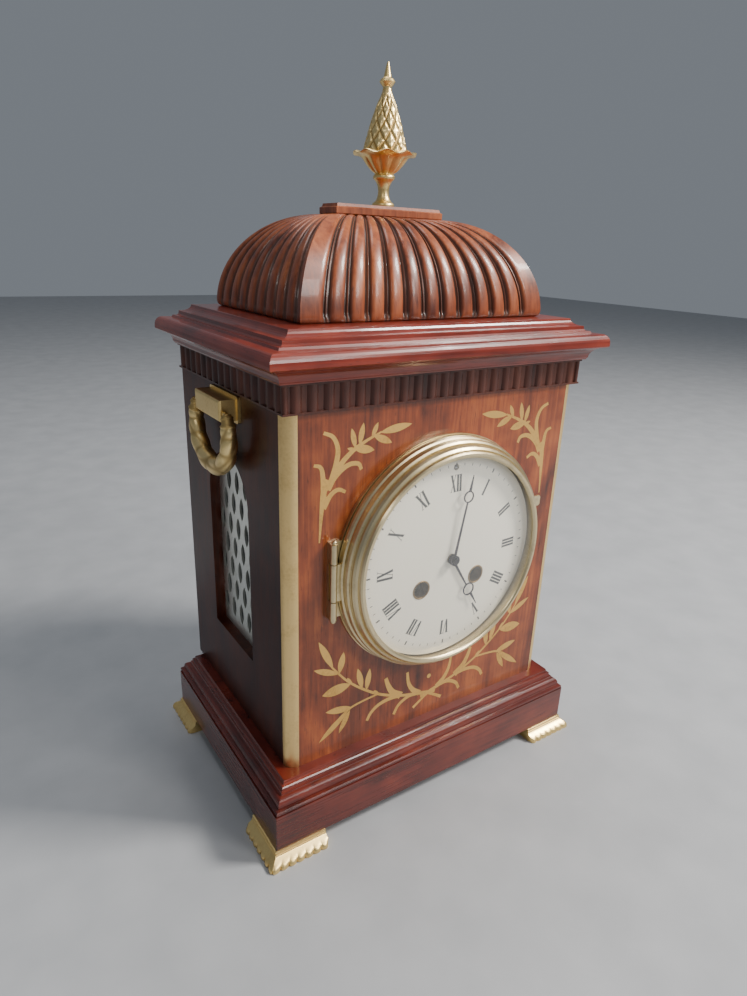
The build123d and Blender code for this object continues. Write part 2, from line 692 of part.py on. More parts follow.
ring_back = back_y + 2.0
door_y = ring_back + 0.4
rear_hinge_x = 66.5
rear_hinge_y = ring_back + 2.3
with BuildPart() as rear_ring:
    disc(69.0, back_y, ring_back)
    disc(56.0, back_y - 1, ring_back + 1, mode=Mode.SUBTRACT)
    for zc in (-9.0, 9.0):
        block(
            rear_hinge_x - 1.6, rear_hinge_x + 1.6, back_y, rear_hinge_y, dial_z + zc - 2.8, dial_z + zc + 2.8,
        )
        with Locations((rear_hinge_x, rear_hinge_y, dial_z + zc)):
            Cylinder(1.8, 5.6)
    with Locations((rear_hinge_x, rear_hinge_y, dial_z)):
        Cylinder(0.8, 23.6)
save(rear_ring.part, "rear_ring")

with BuildPart() as rear_door:
    disc(61.0, door_y, door_y + 1.6)
    disc(50.0, door_y + 1.6, door_y + 2.8)
    block(58, rear_hinge_x, rear_hinge_y - 0.7, rear_hinge_y + 0.9, dial_z - 5.8, dial_z + 5.8)
    with Locations((rear_hinge_x, rear_hinge_y, dial_z)):
        Cylinder(1.8, 11.6)
        Cylinder(0.8 + running, 30, mode=Mode.SUBTRACT)
    disc(2.0, door_y + 1.6, door_y + 4.0, x=-54)
    disc(3.4, door_y + 3.4, door_y + 5.6, x=-54)
save(rear_door.part, "rear_door")

# ---- front flange with the fixed hinge leaf ----
flange_y = front_y - flange_thick
knuckle_len = 11.4
with BuildPart() as front_flange:
    disc(flange_r, flange_y, front_y)
    block(hinge_x - 1.6, -60, flange_y, front_y, dial_z - 23, dial_z + 23)
    disc(37.0, flange_y - 1, front_y + 1, mode=Mode.SUBTRACT)
    disc(1.6, flange_y - 1, front_y + 1, z=56.0, mode=Mode.SUBTRACT)
    for zc in (-17.2, 17.2):
        block(
            hinge_x - 1.6, hinge_x + 1.6, hinge_y, flange_y, dial_z + zc - knuckle_len / 2, dial_z + zc + knuckle_len / 2,
        )
        with Locations((hinge_x, hinge_y, dial_z + zc)):
            Cylinder(knuckle_r, knuckle_len)
    with Locations((hinge_x, hinge_y, dial_z)):
        Cylinder(pin_r, 46)
    for zc in (-23.6, 23.6):
        with Locations((hinge_x, hinge_y, dial_z + zc)):
            Sphere(1.5)
save(front_flange.part, "front_flange")


# ---- hinged bezel and its glass ----
bezel_profile = [
    (65.0, bezel_back_y), (72.4, bezel_back_y), (bezel_r, bezel_back_y - 1.8), (71.9, bezel_back_y - 3.3),
    (70.9, bezel_back_y - 3.9), (70.8, bezel_back_y - 5.1), (71.2, bezel_back_y - 6.3), (70.8, bezel_back_y - 7.8),
    (69.8, bezel_back_y - 8.5), (69.4, bezel_back_y - 8.1), (69.0, bezel_back_y - 8.9), (69.0, bezel_back_y - 10.2),
    (68.2, bezel_back_y - 11.8), (67.0, bezel_back_y - 12.7), (66.6, bezel_back_y - 12.3),
    (66.3, bezel_back_y - 12.9), (66.0, bezel_back_y - 14.1), (65.2, bezel_front_y), (63.8, bezel_front_y),
    (63.0, bezel_back_y - 14.4),
    (lip_r, bezel_back_y - 13.8), (lip_r, glass_seat_y - 0.6), (63.4, glass_seat_y), (65.0, glass_seat_y),
]
with BuildPart() as bezel_ring:
    add(turned(bezel_profile))
    block(hinge_x, -68, hinge_y - 1.3, hinge_y + 1.3, dial_z - 11, dial_z + 11)
    disc(65.0, glass_seat_y + 0.1, bezel_back_y + 2, mode=Mode.SUBTRACT)
    with Locations((hinge_x, hinge_y, dial_z)):
        Cylinder(knuckle_r, 22)
        Cylinder(pin_r + running, 60, mode=Mode.SUBTRACT)
    with BuildSketch(Plane.XZ.offset(-bezel_back_y + 0.2)):
        with Locations((73.4, dial_z + 20)):
            RectangleRounded(11, 7, 1.8)
    extrude(amount=1.6)
save(bezel_ring.part, "bezel_ring")

glass_pts = [(0.0, glass_seat_y - 6.8)]
for i in range(1, 9):
    r = 62.4 * i / 8
    glass_pts.append((r, glass_seat_y - 6.8 * (1 - (i / 8) ** 2)))
inner_pts = []
for i in range(8, 0, -1):
    r = 62.4 * i / 8
    inner_pts.append((r, glass_seat_y + 1.6 - 6.8 * (1 - (i / 8) ** 2)))
inner_pts.append((0.0, glass_seat_y - 5.2))
save(turned(glass_pts + [(64.8, glass_seat_y), (64.8, glass_seat_y + 1.6)] + inner_pts), "bezel_glass")

# ---- dial: seat ring, convex enamel disc ----
dial_rise = 2.6
front_line = []
back_line = []
for i in range(9):
    r = 64.0 * (1 - i / 8)
    rise = dial_rise * (1 - (r / 64.0) ** 2)
    front_line.append((r, dial_seat_y - rise - 1.2))
    back_line.append((r, dial_seat_y - rise))
with BuildPart() as dial:
    add(turned(back_line + list(reversed(front_line))))
    disc(3.2, -90, -60, mode=Mode.SUBTRACT)
    disc(5.5, -90, -60, x=-wind_x, z=-wind_drop, mode=Mode.SUBTRACT)
    disc(5.5, -90, -60, x=wind_x, z=-wind_drop, mode=Mode.SUBTRACT)
    disc(1.9, -90, -60, x=0, z=56.0, mode=Mode.SUBTRACT)
save(dial.part, "dial")

with BuildPart() as dial_pan:
    disc(64.0, dial_seat_y, flange_y)
    disc(60.0, dial_seat_y - 1, flange_y + 1, mode=Mode.SUBTRACT)
save(dial_pan.part, "dial_pan")


# ---- hands and motion work ----
def gear_outline(teeth, module, phase, cx, cz, clearance_turn):
    """Flat-flanked stub teeth about (cx, cz); phase puts a tooth at that angle in degrees."""
    pitch_r = 0.5 * module * teeth
    tip_r = pitch_r + 0.7 * module
    root_r = pitch_r - 1.0 * module
    pitch_a = 2 * pi / teeth
    half_mid = 0.25 * pitch_a * (1 - clearance_turn)
    half_tip = half_mid - 0.7 * module * 0.466 / pitch_r
    half_root = half_mid + 0.8 * module * 0.466 / pitch_r
    pts = []
    for i in range(teeth):
        a = radians(phase) + i * pitch_a
        for off, r in ((-half_root, root_r), (-half_tip, tip_r), (half_tip, tip_r), (half_root, root_r)):
            pts.append((cx + r * cos(a + off), cz + r * sin(a + off)))
    return pts


def wheel(teeth, module, phase, cx, cz, y_front, y_back):
    """Toothed wheel inside a BuildPart."""
    with BuildSketch(dial_plane(y_back)) as toothed:
        with BuildLine():
            Polyline(*gear_outline(teeth, module, phase, cx, cz, 0.12), close=True)
        make_face()
    extrude(toothed.sketch, amount=y_back - y_front)


with BuildPart() as cannon:
    wheel(12, 0.5, 90, 0, 0, -63.0, -60.0)
    disc(1.5, -82.6, -60.0)
    disc(1.2, -60.0, -52.0)
save(cannon.part, "cannon_pinion")

with BuildPart() as minute_wheel:
    wheel(36, 0.5, -90 + 5.0, 0, motion_dist, -62.4, -60.8)
    wheel(12, 0.4, -90, 0, motion_dist, -67.0, -62.4)
    disc(0.9 + running, -80, -50, x=0, z=motion_dist, mode=Mode.SUBTRACT)
save(minute_wheel.part, "minute_wheel")

with BuildPart() as hour_wheel:
    wheel(48, 0.4, 90 + 3.75, 0, 0, -66.4, -64.6)
    disc(2.5, -80.0, -64.6)
    disc(1.5 + 0.1, -90, -60, mode=Mode.SUBTRACT)
save(hour_wheel.part, "hour_wheel")

hour_angle = 148.0        # clockwise from twelve
minute_angle = 10.5


def hand(angle, ring_at, ring_r, length, y_front, y_back, bore, boss, w_root):
    """Ring-pointed hand drawn along its own line, clockwise angle from twelve."""
    a = radians(90 - angle)
    with BuildPart() as piece:
        plane = Plane(origin=(0, y_back, dial_z), x_dir=(cos(a), 0, sin(a)), z_dir=(0, -1, 0))
        with BuildSketch(plane):
            with BuildLine():
                Polyline(
                    (0, w_root), (ring_at - ring_r + 0.3, 0.55), (ring_at - ring_r + 0.3, -0.55), (0, -w_root),
                    close=True,
                )
            make_face()
            with Locations((ring_at, 0)):
                Circle(ring_r)
            with BuildLine():
                Polyline(
                    (ring_at + ring_r - 0.4, 1.1), (length - 3, 0.5), (length, 0), (length - 3, -0.5),
                    (ring_at + ring_r - 0.4, -1.1), close=True,
                )
            make_face()
            Circle(boss)
            with Locations((ring_at + 0.35 * ring_r, 0)):
                Circle(ring_r * 0.62, mode=Mode.SUBTRACT)
            Circle(bore, mode=Mode.SUBTRACT)
        extrude(amount=y_back - y_front)
    return piece.part


save(hand(hour_angle, 27.5, 4.2, 41.5, -80.3, -79.7, 2.5, 5.2, 1.0), "hour_hand")
save(hand(minute_angle, 39.0, 3.6, 52.0, -81.6, -81.0, 1.5, 3.4, 0.8), "minute_hand")

with BuildPart() as hand_collet:
    disc(3.2, -82.6, -81.6)
    disc(1.8, -83.8, -82.6)
    disc(1.5, -82.6, -75, mode=Mode.SUBTRACT)
save(hand_collet.part, "hand_collet")

# ---- movement: plates, pillars, straps, barrels, regulator ----
front_bores = ((0, 0, 1.2 + running), (-wind_x, -wind_drop, 2.4 + running), (wind_x, -wind_drop, 2.4 + running))
with BuildPart() as front_plate:
    disc(plate_r, front_plate_y, front_plate_y + plate_thick)
    for bx, bz, br in front_bores:
        disc(br, front_plate_y - 1, front_plate_y + plate_thick + 1, x=bx, z=bz, mode=Mode.SUBTRACT)
    disc(0.9, -67.6, front_plate_y, x=0, z=motion_dist)
    for px, pz in ((-29, 27), (29, 27), (0, -40)):
        disc(3.0, front_y, front_plate_y, x=px, z=pz)
save(front_plate.part, "front_plate")

pillar_spots = ((-33, 24), (33, 24), (-7, -39), (7, -39))
with BuildPart() as back_plate:
    disc(plate_r, back_plate_y - plate_thick, back_plate_y)
    for sx in (-1, 1):
        disc(2.4 + running, back_plate_y - 4, back_plate_y + 1, x=sx * wind_x, z=-wind_drop, mode=Mode.SUBTRACT)
    for px, pz in pillar_spots:
        disc(2.6, front_plate_y + plate_thick, back_plate_y - plate_thick, x=px, z=pz)
    disc(2.2, back_plate_y, -6.0, x=36, z=-10)
    disc(1.4, back_plate_y, 3.4, x=36, z=-10)
save(back_plate.part, "back_plate")

for sx, side_name in ((-1, "left"), (1, "right")):
    with BuildPart() as barrel:
        disc(16.5, -46, -28, x=sx * wind_x, z=-wind_drop)
        disc(18.0, -50, -48, x=sx * wind_x, z=-wind_drop)
        disc(14.0, -48, -46, x=sx * wind_x, z=-wind_drop)
        disc(2.4, -64, back_plate_y + 1.5, x=sx * wind_x, z=-wind_drop)
        with BuildSketch(dial_plane(-64)):
            with Locations((sx * wind_x, -wind_drop)):
                Rectangle(4.2, 4.2)
        extrude(amount=7.0)
    save(barrel.part, "winding_barrel_" + side_name)

with BuildPart() as regulator_arbor:
    disc(0.8, -76.4, -69.4, x=0, z=56.0)
    disc(1.3, -69.4, -66.0, x=0, z=56.0)
save(regulator_arbor.part, "regulator_arbor")

with BuildPart() as movement_straps:
    for sx in (-1, 1):
        block(sx * 57 - 1.2, sx * 57 + 1.2, front_y, back_y, dial_z - 5, dial_z + 5)
save(movement_straps.part, "movement_straps")

# ---- pendulum on its cock ----
with BuildPart() as pendulum_cock:
    block(-4, 4, back_plate_y, -7.0, pendulum_z + 3.4, pendulum_z + 8)
    block(-4, 4, back_plate_y, -15.0, pendulum_z - 4, pendulum_z + 4)
    block(-4, 4, -9.0, -7.0, pendulum_z - 4, pendulum_z + 4)
    with BuildSketch(Plane.XZ.offset(7.0)):
        with Locations((0, pendulum_z)):
            Circle(0.8)
    extrude(amount=back_plate_y * -1 - 7.0)
save(pendulum_cock.part, "pendulum_cock")

with BuildPart() as pendulum_rod:
    with BuildSketch(Plane.XZ.offset(-pendulum_y - 1.2)):
        with Locations((0, pendulum_z)):
            Circle(2.4)
    extrude(amount=2.4)
    with Locations((0, pendulum_y, 0.5 * (pendulum_z + bob_z) - 0.6)):
        Cylinder(0.9, pendulum_z - bob_z)
    with BuildSketch(Plane.XZ.offset(-pendulum_y - 10)):
        with Locations((0, pendulum_z)):
            Circle(0.8 + running)
    extrude(amount=20, mode=Mode.SUBTRACT)
save(pendulum_rod.part, "pendulum_rod")

with BuildPart() as pendulum_bob:
    with BuildSketch(Plane(origin=(0, 0, bob_z), x_dir=(1, 0, 0), z_dir=(0, 0, 1))):
        with BuildLine():
            Polyline(
                (0, pendulum_y - 4), (8, pendulum_y - 3.6), (12.6, pendulum_y - 2), (14, pendulum_y),
                (12.6, pendulum_y + 2), (8, pendulum_y + 3.6), (0, pendulum_y + 4), close=True,
            )
        make_face()
    revolve(axis=Axis((0, 0, bob_z), (0, 1, 0)))
    with Locations((0, pendulum_y, bob_z)):
        Cylinder(0.9, 60, mode=Mode.SUBTRACT)
save(pendulum_bob.part, "pendulum_bob")

# ---- bell, its stand and the hammer ----
bell_z = -6.7
bell_pts = []
inner_bell = []
for i in range(9):
    a = radians(90 * i / 8)
    bell_pts.append((38.0 * cos(a), 6.0 + 20.0 * sin(a)))
    inner_bell.append((36.0 * cos(a), 6.0 + 18.0 * sin(a)))
with BuildPart() as bell:
    add(turned(bell_pts + list(reversed(inner_bell))).moved(Location((0, 0, bell_z))))
    disc(1.8, 20, 30, x=0, z=bell_z, mode=Mode.SUBTRACT)
save(bell.part, "bell")

with BuildPart() as bell_stand:
    disc(2.0, back_plate_y, 34.0, x=-35, z=-25)
    with BuildSketch(dial_plane(34.0)):
        with BuildLine():
            Polyline((-37, -28), (-33, -30), (3.4, -9.0), (1.6, -3.6), close=True)
        make_face()
    extrude(amount=3.0)
    disc(1.5, 22.0, 32.0, x=0, z=bell_z)
    disc(3.0, 26.3, 31.5, x=0, z=bell_z)
save(bell_stand.part, "bell_stand")

with BuildPart() as hammer:
    disc(3.6, -5.7, 3.0, x=36, z=-10)
    with BuildSketch(dial_plane(2.4)):
        with BuildLine():
            Polyline((34.2, -10), (37.8, -10), (36.4, 20), (33.8, 20), close=True)
        make_face()
    extrude(amount=2.4)
    disc(4.6, 0.0, 10.0, x=35.1, z=20)
    disc(1.4 + running, -10, 20, x=36, z=-10, mode=Mode.SUBTRACT)
save(hammer.part, "strike_hammer")
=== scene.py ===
import math

import bmesh
import bpy
import numpy as np
from mathutils import Matrix, Vector


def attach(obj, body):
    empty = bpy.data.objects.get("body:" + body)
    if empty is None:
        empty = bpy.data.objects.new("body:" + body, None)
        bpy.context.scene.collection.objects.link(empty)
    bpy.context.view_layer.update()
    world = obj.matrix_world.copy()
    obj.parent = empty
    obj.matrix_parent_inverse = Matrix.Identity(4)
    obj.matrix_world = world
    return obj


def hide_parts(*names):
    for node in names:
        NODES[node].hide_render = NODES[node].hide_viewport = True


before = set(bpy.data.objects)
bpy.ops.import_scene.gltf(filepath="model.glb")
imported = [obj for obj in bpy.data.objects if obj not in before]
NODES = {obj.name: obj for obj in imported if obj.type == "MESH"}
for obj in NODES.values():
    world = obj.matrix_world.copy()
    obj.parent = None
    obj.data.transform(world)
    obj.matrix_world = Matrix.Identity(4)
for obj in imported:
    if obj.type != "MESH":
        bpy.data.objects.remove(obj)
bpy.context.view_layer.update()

MM = 0.001
TAU = 2.0 * math.pi

# Places in millimetres.
DIAL_HEIGHT = 166.7   # the dial's centre above the floor
CASE_MIDDLE = 6.6     # y of the dome, finial and handles
PLATE_TOP = 358.6     # top of the dome plate, under the finial


# ------------------------------------------------------------------ shader arithmetic
class Value:
    """A number that varies over a surface: ordinary arithmetic on it adds Math nodes."""

    def __init__(self, paint, socket):
        self.paint = paint
        self.socket = socket

    def _math(self, operation, *others):
        return self.paint.node("ShaderNodeMath", {"operation": operation}, dict(enumerate((self,) + others)))

    def __add__(self, other):
        return self._math("ADD", other)

    __radd__ = __add__

    def __sub__(self, other):
        return self._math("SUBTRACT", other)

    def __rsub__(self, other):
        return (self * -1.0) + other

    def __mul__(self, other):
        return self._math("MULTIPLY", other)

    def __pow__(self, other):
        return self._math("POWER", other)

    def most(self, other):
        return self._math("MAXIMUM", other)

    def wave(self):
        return self._math("SINE")

    def step(self, low, high):
        """0 below low, 1 above high, smooth between."""
        return self.paint.node(
            "ShaderNodeMapRange",
            {"interpolation_type": "SMOOTHSTEP"},
            {"Value": self, "From Min": low, "From Max": high, "To Min": 0.0, "To Max": 1.0},
            "Result",
        )


class Paint:
    """One material: a Principled surface and the nodes that feed it."""

    def __init__(self, name, **constants):
        self.material = bpy.data.materials.new(name)
        self.material.use_nodes = True
        self.tree = self.material.node_tree
        self.tree.nodes.clear()
        self.shader = self.tree.nodes.new("ShaderNodeBsdfPrincipled")
        out = self.tree.nodes.new("ShaderNodeOutputMaterial")
        self.tree.links.new(self.shader.outputs[0], out.inputs[0])
        for key, value in constants.items():
            self.set(key.replace("_", " "), value)
        self.place = self.node("ShaderNodeTexCoord", {}, {}, "Object")

    def node(self, kind, settings, inputs, output=0):
        """Adds a node: settings first, then its sockets, each a number, a colour or a Value."""
        made = self.tree.nodes.new(kind)
        for key, value in settings.items():
            if key == "stops":
                ramp = made.color_ramp
                while len(ramp.elements) < len(value):
                    ramp.elements.new(0.5)
                for element, (position, colour) in zip(ramp.elements, value):
                    element.position = position
                    element.color = (*colour, 1.0)
            else:
                setattr(made, key, value)
        for key, value in inputs.items():
            socket = made.inputs[key]
            if isinstance(value, Value):
                self.tree.links.new(value.socket, socket)
            elif isinstance(value, (tuple, list)) and len(value) == 3 and socket.type == "RGBA":
                socket.default_value = (*value, 1.0)
            else:
                socket.default_value = value
        return Value(self, made.outputs[output])

    def set(self, socket, value):
        """Sets or feeds one socket of the surface."""
        target = self.shader.inputs[socket]
        if isinstance(value, Value):
            self.tree.links.new(value.socket, target)
        elif isinstance(value, (tuple, list)) and len(value) == 3 and target.type == "RGBA":
            target.default_value = (*value, 1.0)
        else:
            target.default_value = value

    def noise(self, scale, detail=3.0, rough=0.5, stretch=(1.0, 1.0, 1.0), twist=0.0):
        """Noise over the piece, stretched along its axes; scale is in features per metre."""
        moved = self.node("ShaderNodeMapping", {}, {"Vector": self.place, "Scale": stretch})
        return self.node(
            "ShaderNodeTexNoise",
            {},
            {"Vector": moved, "Scale": scale, "Detail": detail, "Roughness": rough, "Distortion": twist},
        )

    def hollow(self):
        """How deep in the carving a point lies, 0 on the crowns and 1 in the grooves."""
        return self.node("ShaderNodeAttribute", {"attribute_name": "hollow"}, {}, "Fac")

    def axis(self, which):
        return self.node("ShaderNodeSeparateXYZ", {}, {0: self.place}, "XYZ".index(which))

    def ramp(self, value, *stops):
        return self.node("ShaderNodeValToRGB", {"stops": stops}, {"Fac": value})

    def blend(self, share, first, second):
        return self.node(
            "ShaderNodeMix",
            {"data_type": "RGBA", "blend_type": "MIX"},
            {"Factor": share, 6: first, 7: second},
            2,
        )

    def bump(self, height, strength, distance):
        self.set("Normal", self.node(
            "ShaderNodeBump", {}, {"Height": height, "Strength": strength, "Distance": distance}, "Normal"
        ))


# ------------------------------------------------------------------ finishes
def mahogany(name, dark, mid, light, along, gloss=0.55, rough=0.28, figure=1.0, age=0.5,
             carved=False, shine=0.45):
    """Polished mahogany: ribbon figure across the boards, long fine grain, short open pores,
    darker polish settled in broad patches. The grain runs along Z, or along both X and Y for a
    moulding that turns a corner. Carved wood has painted shade in its grooves, blended towards a
    dark grey-brown for the shade and grey reflections there."""
    p = Paint(name, Coat_Roughness=0.09, Specular_IOR_Level=shine)
    lengthways = {"XY": (0.045, 0.045, 1.0), "Z": (1.0, 1.0, 0.045)}[along]
    pores_way = {"XY": (0.09, 0.09, 1.0), "Z": (1.0, 1.0, 0.09)}[along]
    broad_way = {"XY": (0.30, 0.30, 1.0), "Z": (1.0, 1.0, 0.24)}[along]
    grain = p.noise(420.0, 5.0, 0.6, lengthways, 0.4)
    ribbon = p.noise(34.0, 3.0, 0.55, broad_way, 1.2)
    patch = p.noise(9.0, 2.0, 0.5)
    mottle = p.noise(60.0, 3.0, 0.5)
    pores = p.noise(1500.0, 2.0, 0.5, pores_way).step(0.62, 0.74)
    tone = (grain - 0.5) * 0.6 + (ribbon - 0.5) * (0.75 * figure) + (mottle - 0.5) * (0.40 * figure)
    tone = tone + (patch - 0.5) * 0.3 + 0.5
    body = p.ramp(tone, (0.22, dark), (0.50, mid), (0.78, light))
    body = p.blend(pores * 0.55, body, tuple(0.35 * c for c in dark))
    body = p.blend(patch.step(0.35, 0.75) * (0.35 * age), body, tuple(0.6 * c for c in dark))
    # Painted shade: carved grooves are blended towards dark grey-brown for the shade and grey reflections in them.
    if carved:
        body = p.blend(p.hollow().step(0.15, 0.85) * 0.80, body, (0.050, 0.034, 0.028))
    p.set("Base Color", body)
    p.set("Roughness", rough + grain * 0.10 + patch * 0.10 - 0.06)
    p.set("Coat Weight", gloss - patch * 0.22)
    p.bump(grain * 0.5 - pores * 0.8 + ribbon * 0.25, 0.16, 0.0003)
    return p.material


def brass(name, colour, deep, rough=0.22, tarnish=0.5, brushed=False, cast=False):
    """Old lacquered brass: warm metal with darker tarnish in soft patches and fine scratches, which run
    along Z if it is brushed. Cast brass is darker in its hollows."""
    p = Paint(name, Metallic=1.0)
    cloud = p.noise(70.0, 4.0, 0.6)
    speck = p.noise(600.0, 3.0, 0.6)
    scratch = p.noise(900.0, 2.0, 0.5, (1.0, 1.0, 0.03 if brushed else 1.0))
    stain = (cloud * 0.7 + speck * 0.4).step(0.50, 0.78) * tarnish
    if cast:
        stain = stain.most(p.hollow() * 0.85)
    p.set("Base Color", p.blend(stain, p.blend(scratch * 0.35, colour, tuple(0.82 * c for c in colour)), deep))
    p.set("Roughness", rough + stain * 0.28 + scratch * 0.12)
    p.bump(cloud * 0.4 + scratch * 0.25 + speck * 0.15, 0.10, 0.0003)
    return p.material


def plain_timber():
    """Bare pine carcase board with soft rings along Z."""
    p = Paint("plain_timber", Specular_IOR_Level=0.3)
    ring = p.noise(90.0, 4.0, 0.55, (1.0, 1.0, 0.06), 0.8)
    dust = p.noise(14.0, 3.0, 0.5)
    body = p.ramp(ring, (0.3, (0.20, 0.11, 0.05)), (0.55, (0.34, 0.20, 0.10)), (0.8, (0.44, 0.28, 0.15)))
    p.set("Base Color", p.blend(dust.step(0.4, 0.8) * 0.4, body, (0.13, 0.08, 0.045)))
    p.set("Roughness", 0.62 + dust * 0.15)
    p.bump(ring, 0.2, 0.0004)
    return p.material


def enamel():
    """Warm white fired enamel with tiny flecks under a clear gloss, and faint painted shade that greys it towards
    the rim, under the bezel.
    """
    p = Paint("dial_enamel", Coat_Weight=0.5, Coat_Roughness=0.05, Roughness=0.22)
    x = p.axis("X")
    z = p.axis("Z") - DIAL_HEIGHT * MM
    radius = (x * x + z * z) ** 0.5
    haze = p.noise(40.0, 3.0, 0.6)
    fleck = p.noise(900.0, 2.0, 0.5).step(0.70, 0.80)
    body = p.blend(haze.step(0.4, 0.8) * 0.25, (0.93, 0.88, 0.74), (0.88, 0.81, 0.64))
    # Painted shade: the enamel from 50 to 64 mm out is greyed for the shade under the bezel.
    body = p.blend(radius.step(0.050, 0.064) * 0.35, body, (0.78, 0.73, 0.61))
    p.set("Base Color", p.blend(fleck * 0.25, body, (0.45, 0.38, 0.28)))
    return p.material


def dial_black():
    """Fired black paint, worn a little to grey."""
    p = Paint("dial_black", Coat_Weight=0.3)
    wear = p.noise(1400.0, 3.0, 0.6).step(0.55, 0.85)
    p.set("Base Color", p.blend(wear * 0.5, (0.018, 0.018, 0.020), (0.20, 0.19, 0.17)))
    p.set("Roughness", 0.35 + wear * 0.2)
    return p.material


def blued_steel():
    """Blued steel: near black with a blue sheen that drifts to purple."""
    p = Paint("blued_steel", Metallic=0.9)
    drift = p.noise(160.0, 2.0, 0.5)
    p.set("Base Color", p.ramp(drift, (0.3, (0.012, 0.014, 0.030)), (0.7, (0.030, 0.020, 0.036))))
    p.set("Roughness", 0.25 + drift * 0.15)
    return p.material


def steel():
    """Bright steel with fine turning marks."""
    p = Paint("bright_steel", Metallic=1.0)
    mark = p.noise(1100.0, 2.0, 0.5, (1.0, 0.05, 1.0))
    p.set("Base Color", p.ramp(mark, (0.3, (0.42, 0.42, 0.43)), (0.7, (0.60, 0.60, 0.61))))
    p.set("Roughness", 0.25 + mark * 0.2)
    return p.material


def grille_silk():
    """Woven silk behind the fret: fine crossing threads with faded patches."""
    p = Paint("grille_silk", Sheen_Weight=0.3, Specular_IOR_Level=0.2)
    y = p.axis("Y")
    z = p.axis("Z")
    warp = (y * (TAU * 1400.0)).wave()
    weft = (z * (TAU * 1200.0)).wave()
    thread = (warp * weft) * 0.5 + 0.5
    fade = p.noise(30.0, 3.0, 0.5)
    body = p.ramp(fade, (0.3, (0.014, 0.020, 0.019)), (0.7, (0.036, 0.048, 0.045)))
    p.set("Base Color", p.blend(thread * 0.3, body, (0.07, 0.08, 0.075)))
    p.set("Roughness", 0.75 + fade * 0.15)
    p.bump(thread, 0.3, 0.0002)
    return p.material


def clear_glass():
    """Thin old dial glass: nearly clear, with a soft sheen."""
    return Paint("dial_glass", Base_Color=(0.95, 0.97, 0.95), IOR=1.5, Roughness=0.02, Alpha=0.07).material


WOOD = {
    "front": mahogany("mahogany_front", (0.045, 0.007, 0.002), (0.230, 0.045, 0.010), (0.460, 0.120, 0.025),
                      "Z", gloss=0.50, rough=0.26, figure=1.15, age=0.8),
    # Painted shade: the side wood is a darker, duller copy of the front's mahogany, standing for the shade on the
    # case sides.
    "side": mahogany("mahogany_side_shaded", (0.012, 0.0020, 0.0010), (0.052, 0.009, 0.003), (0.110, 0.022, 0.007),
                     "Z", gloss=0.22, rough=0.34, shine=0.25),
    "base": mahogany("mahogany_base", (0.030, 0.004, 0.003), (0.120, 0.014, 0.007), (0.230, 0.034, 0.015),
                     "XY", rough=0.24),
    "cornice": mahogany("mahogany_cornice", (0.055, 0.007, 0.004), (0.200, 0.022, 0.011), (0.340, 0.056, 0.026),
                        "XY", gloss=0.50, figure=0.8),
    # Painted shade: the frieze wood is much darker than the cornice, for the shadow the cornice casts on it.
    "frieze": mahogany("mahogany_frieze_shaded", (0.020, 0.005, 0.003), (0.070, 0.016, 0.008), (0.130, 0.036, 0.018),
                       "Z", gloss=0.25, rough=0.38),
    "carved": mahogany("mahogany_carved", (0.080, 0.014, 0.005), (0.280, 0.066, 0.020), (0.480, 0.140, 0.045),
                       "Z", gloss=0.32, rough=0.36, figure=1.1, age=0.6, carved=True),
}
BRASS = {
    "bright": brass("brass_bright", (0.96, 0.71, 0.30), (0.52, 0.34, 0.12), 0.27, 0.35),
    "scales": brass("brass_scales", (0.97, 0.74, 0.34), (0.32, 0.20, 0.06), 0.28, 0.25, cast=True),
    "strip": brass("brass_strip", (0.95, 0.68, 0.30), (0.55, 0.36, 0.14), 0.32, 0.4, brushed=True),
    "inlay": brass("brass_inlay", (0.90, 0.56, 0.18), (0.50, 0.28, 0.08), 0.36, 0.5),
    "bezel": brass("brass_bezel", (0.74, 0.62, 0.38), (0.34, 0.27, 0.14), 0.24, 0.4),
    "fret": brass("brass_fret", (0.92, 0.93, 0.86), (0.50, 0.50, 0.42), 0.34, 0.35),
    # Painted shade: the bush brass is dark and heavily tarnished so that the winding holes read as shadowed.
    "bush": brass("brass_bush_shaded", (0.34, 0.22, 0.09), (0.10, 0.06, 0.03), 0.40, 0.7),
    "works": brass("brass_works", (0.50, 0.36, 0.17), (0.18, 0.11, 0.05), 0.34, 0.6),
}
ENAMEL = enamel()
BLACK = dial_black()
BLUED = blued_steel()
STEEL = steel()
SILK = grille_silk()
GLASS = clear_glass()
TIMBER = plain_timber()


def finish_nodes(material, *names):
    """Gives CAD nodes their finish."""
    for name in names:
        mesh = NODES[name].data
        mesh.materials.clear()
        mesh.materials.append(material)


finish_nodes(WOOD["front"], "front_veneer")
finish_nodes(WOOD["side"], "left_side", "right_side")
finish_nodes(WOOD["base"], "base_plinth", "base_moulding")
finish_nodes(WOOD["cornice"], "cornice_moulding")
finish_nodes(WOOD["frieze"], "frieze")
finish_nodes(WOOD["carved"], "gadrooned_dome", "dome_plate")
finish_nodes(TIMBER, "front_panel", "bottom_board", "top_board", "back_panel")
finish_nodes(
    BRASS["bright"], "foot_front_left", "foot_front_right", "foot_rear_left", "foot_rear_right",
    "finial_cup", "finial_pineapple", "finial_tip", "handle_yoke_left", "handle_yoke_right",
    "bail_left", "bail_right",
)
finish_nodes(BRASS["strip"], "corner_strip_left", "corner_strip_right")
finish_nodes(BRASS["inlay"], "inlay_top_left", "inlay_top_right", "inlay_bottom")
finish_nodes(BRASS["bezel"], "bezel_ring", "front_flange", "rear_ring", "rear_door", "dial_pan")
finish_nodes(BRASS["fret"], "side_grille_left", "side_grille_right")
finish_nodes(
    BRASS["works"], "front_plate", "back_plate", "winding_barrel_left", "winding_barrel_right",
    "cannon_pinion", "minute_wheel", "hour_wheel", "pendulum_bob", "pendulum_cock", "bell", "bell_stand",
)
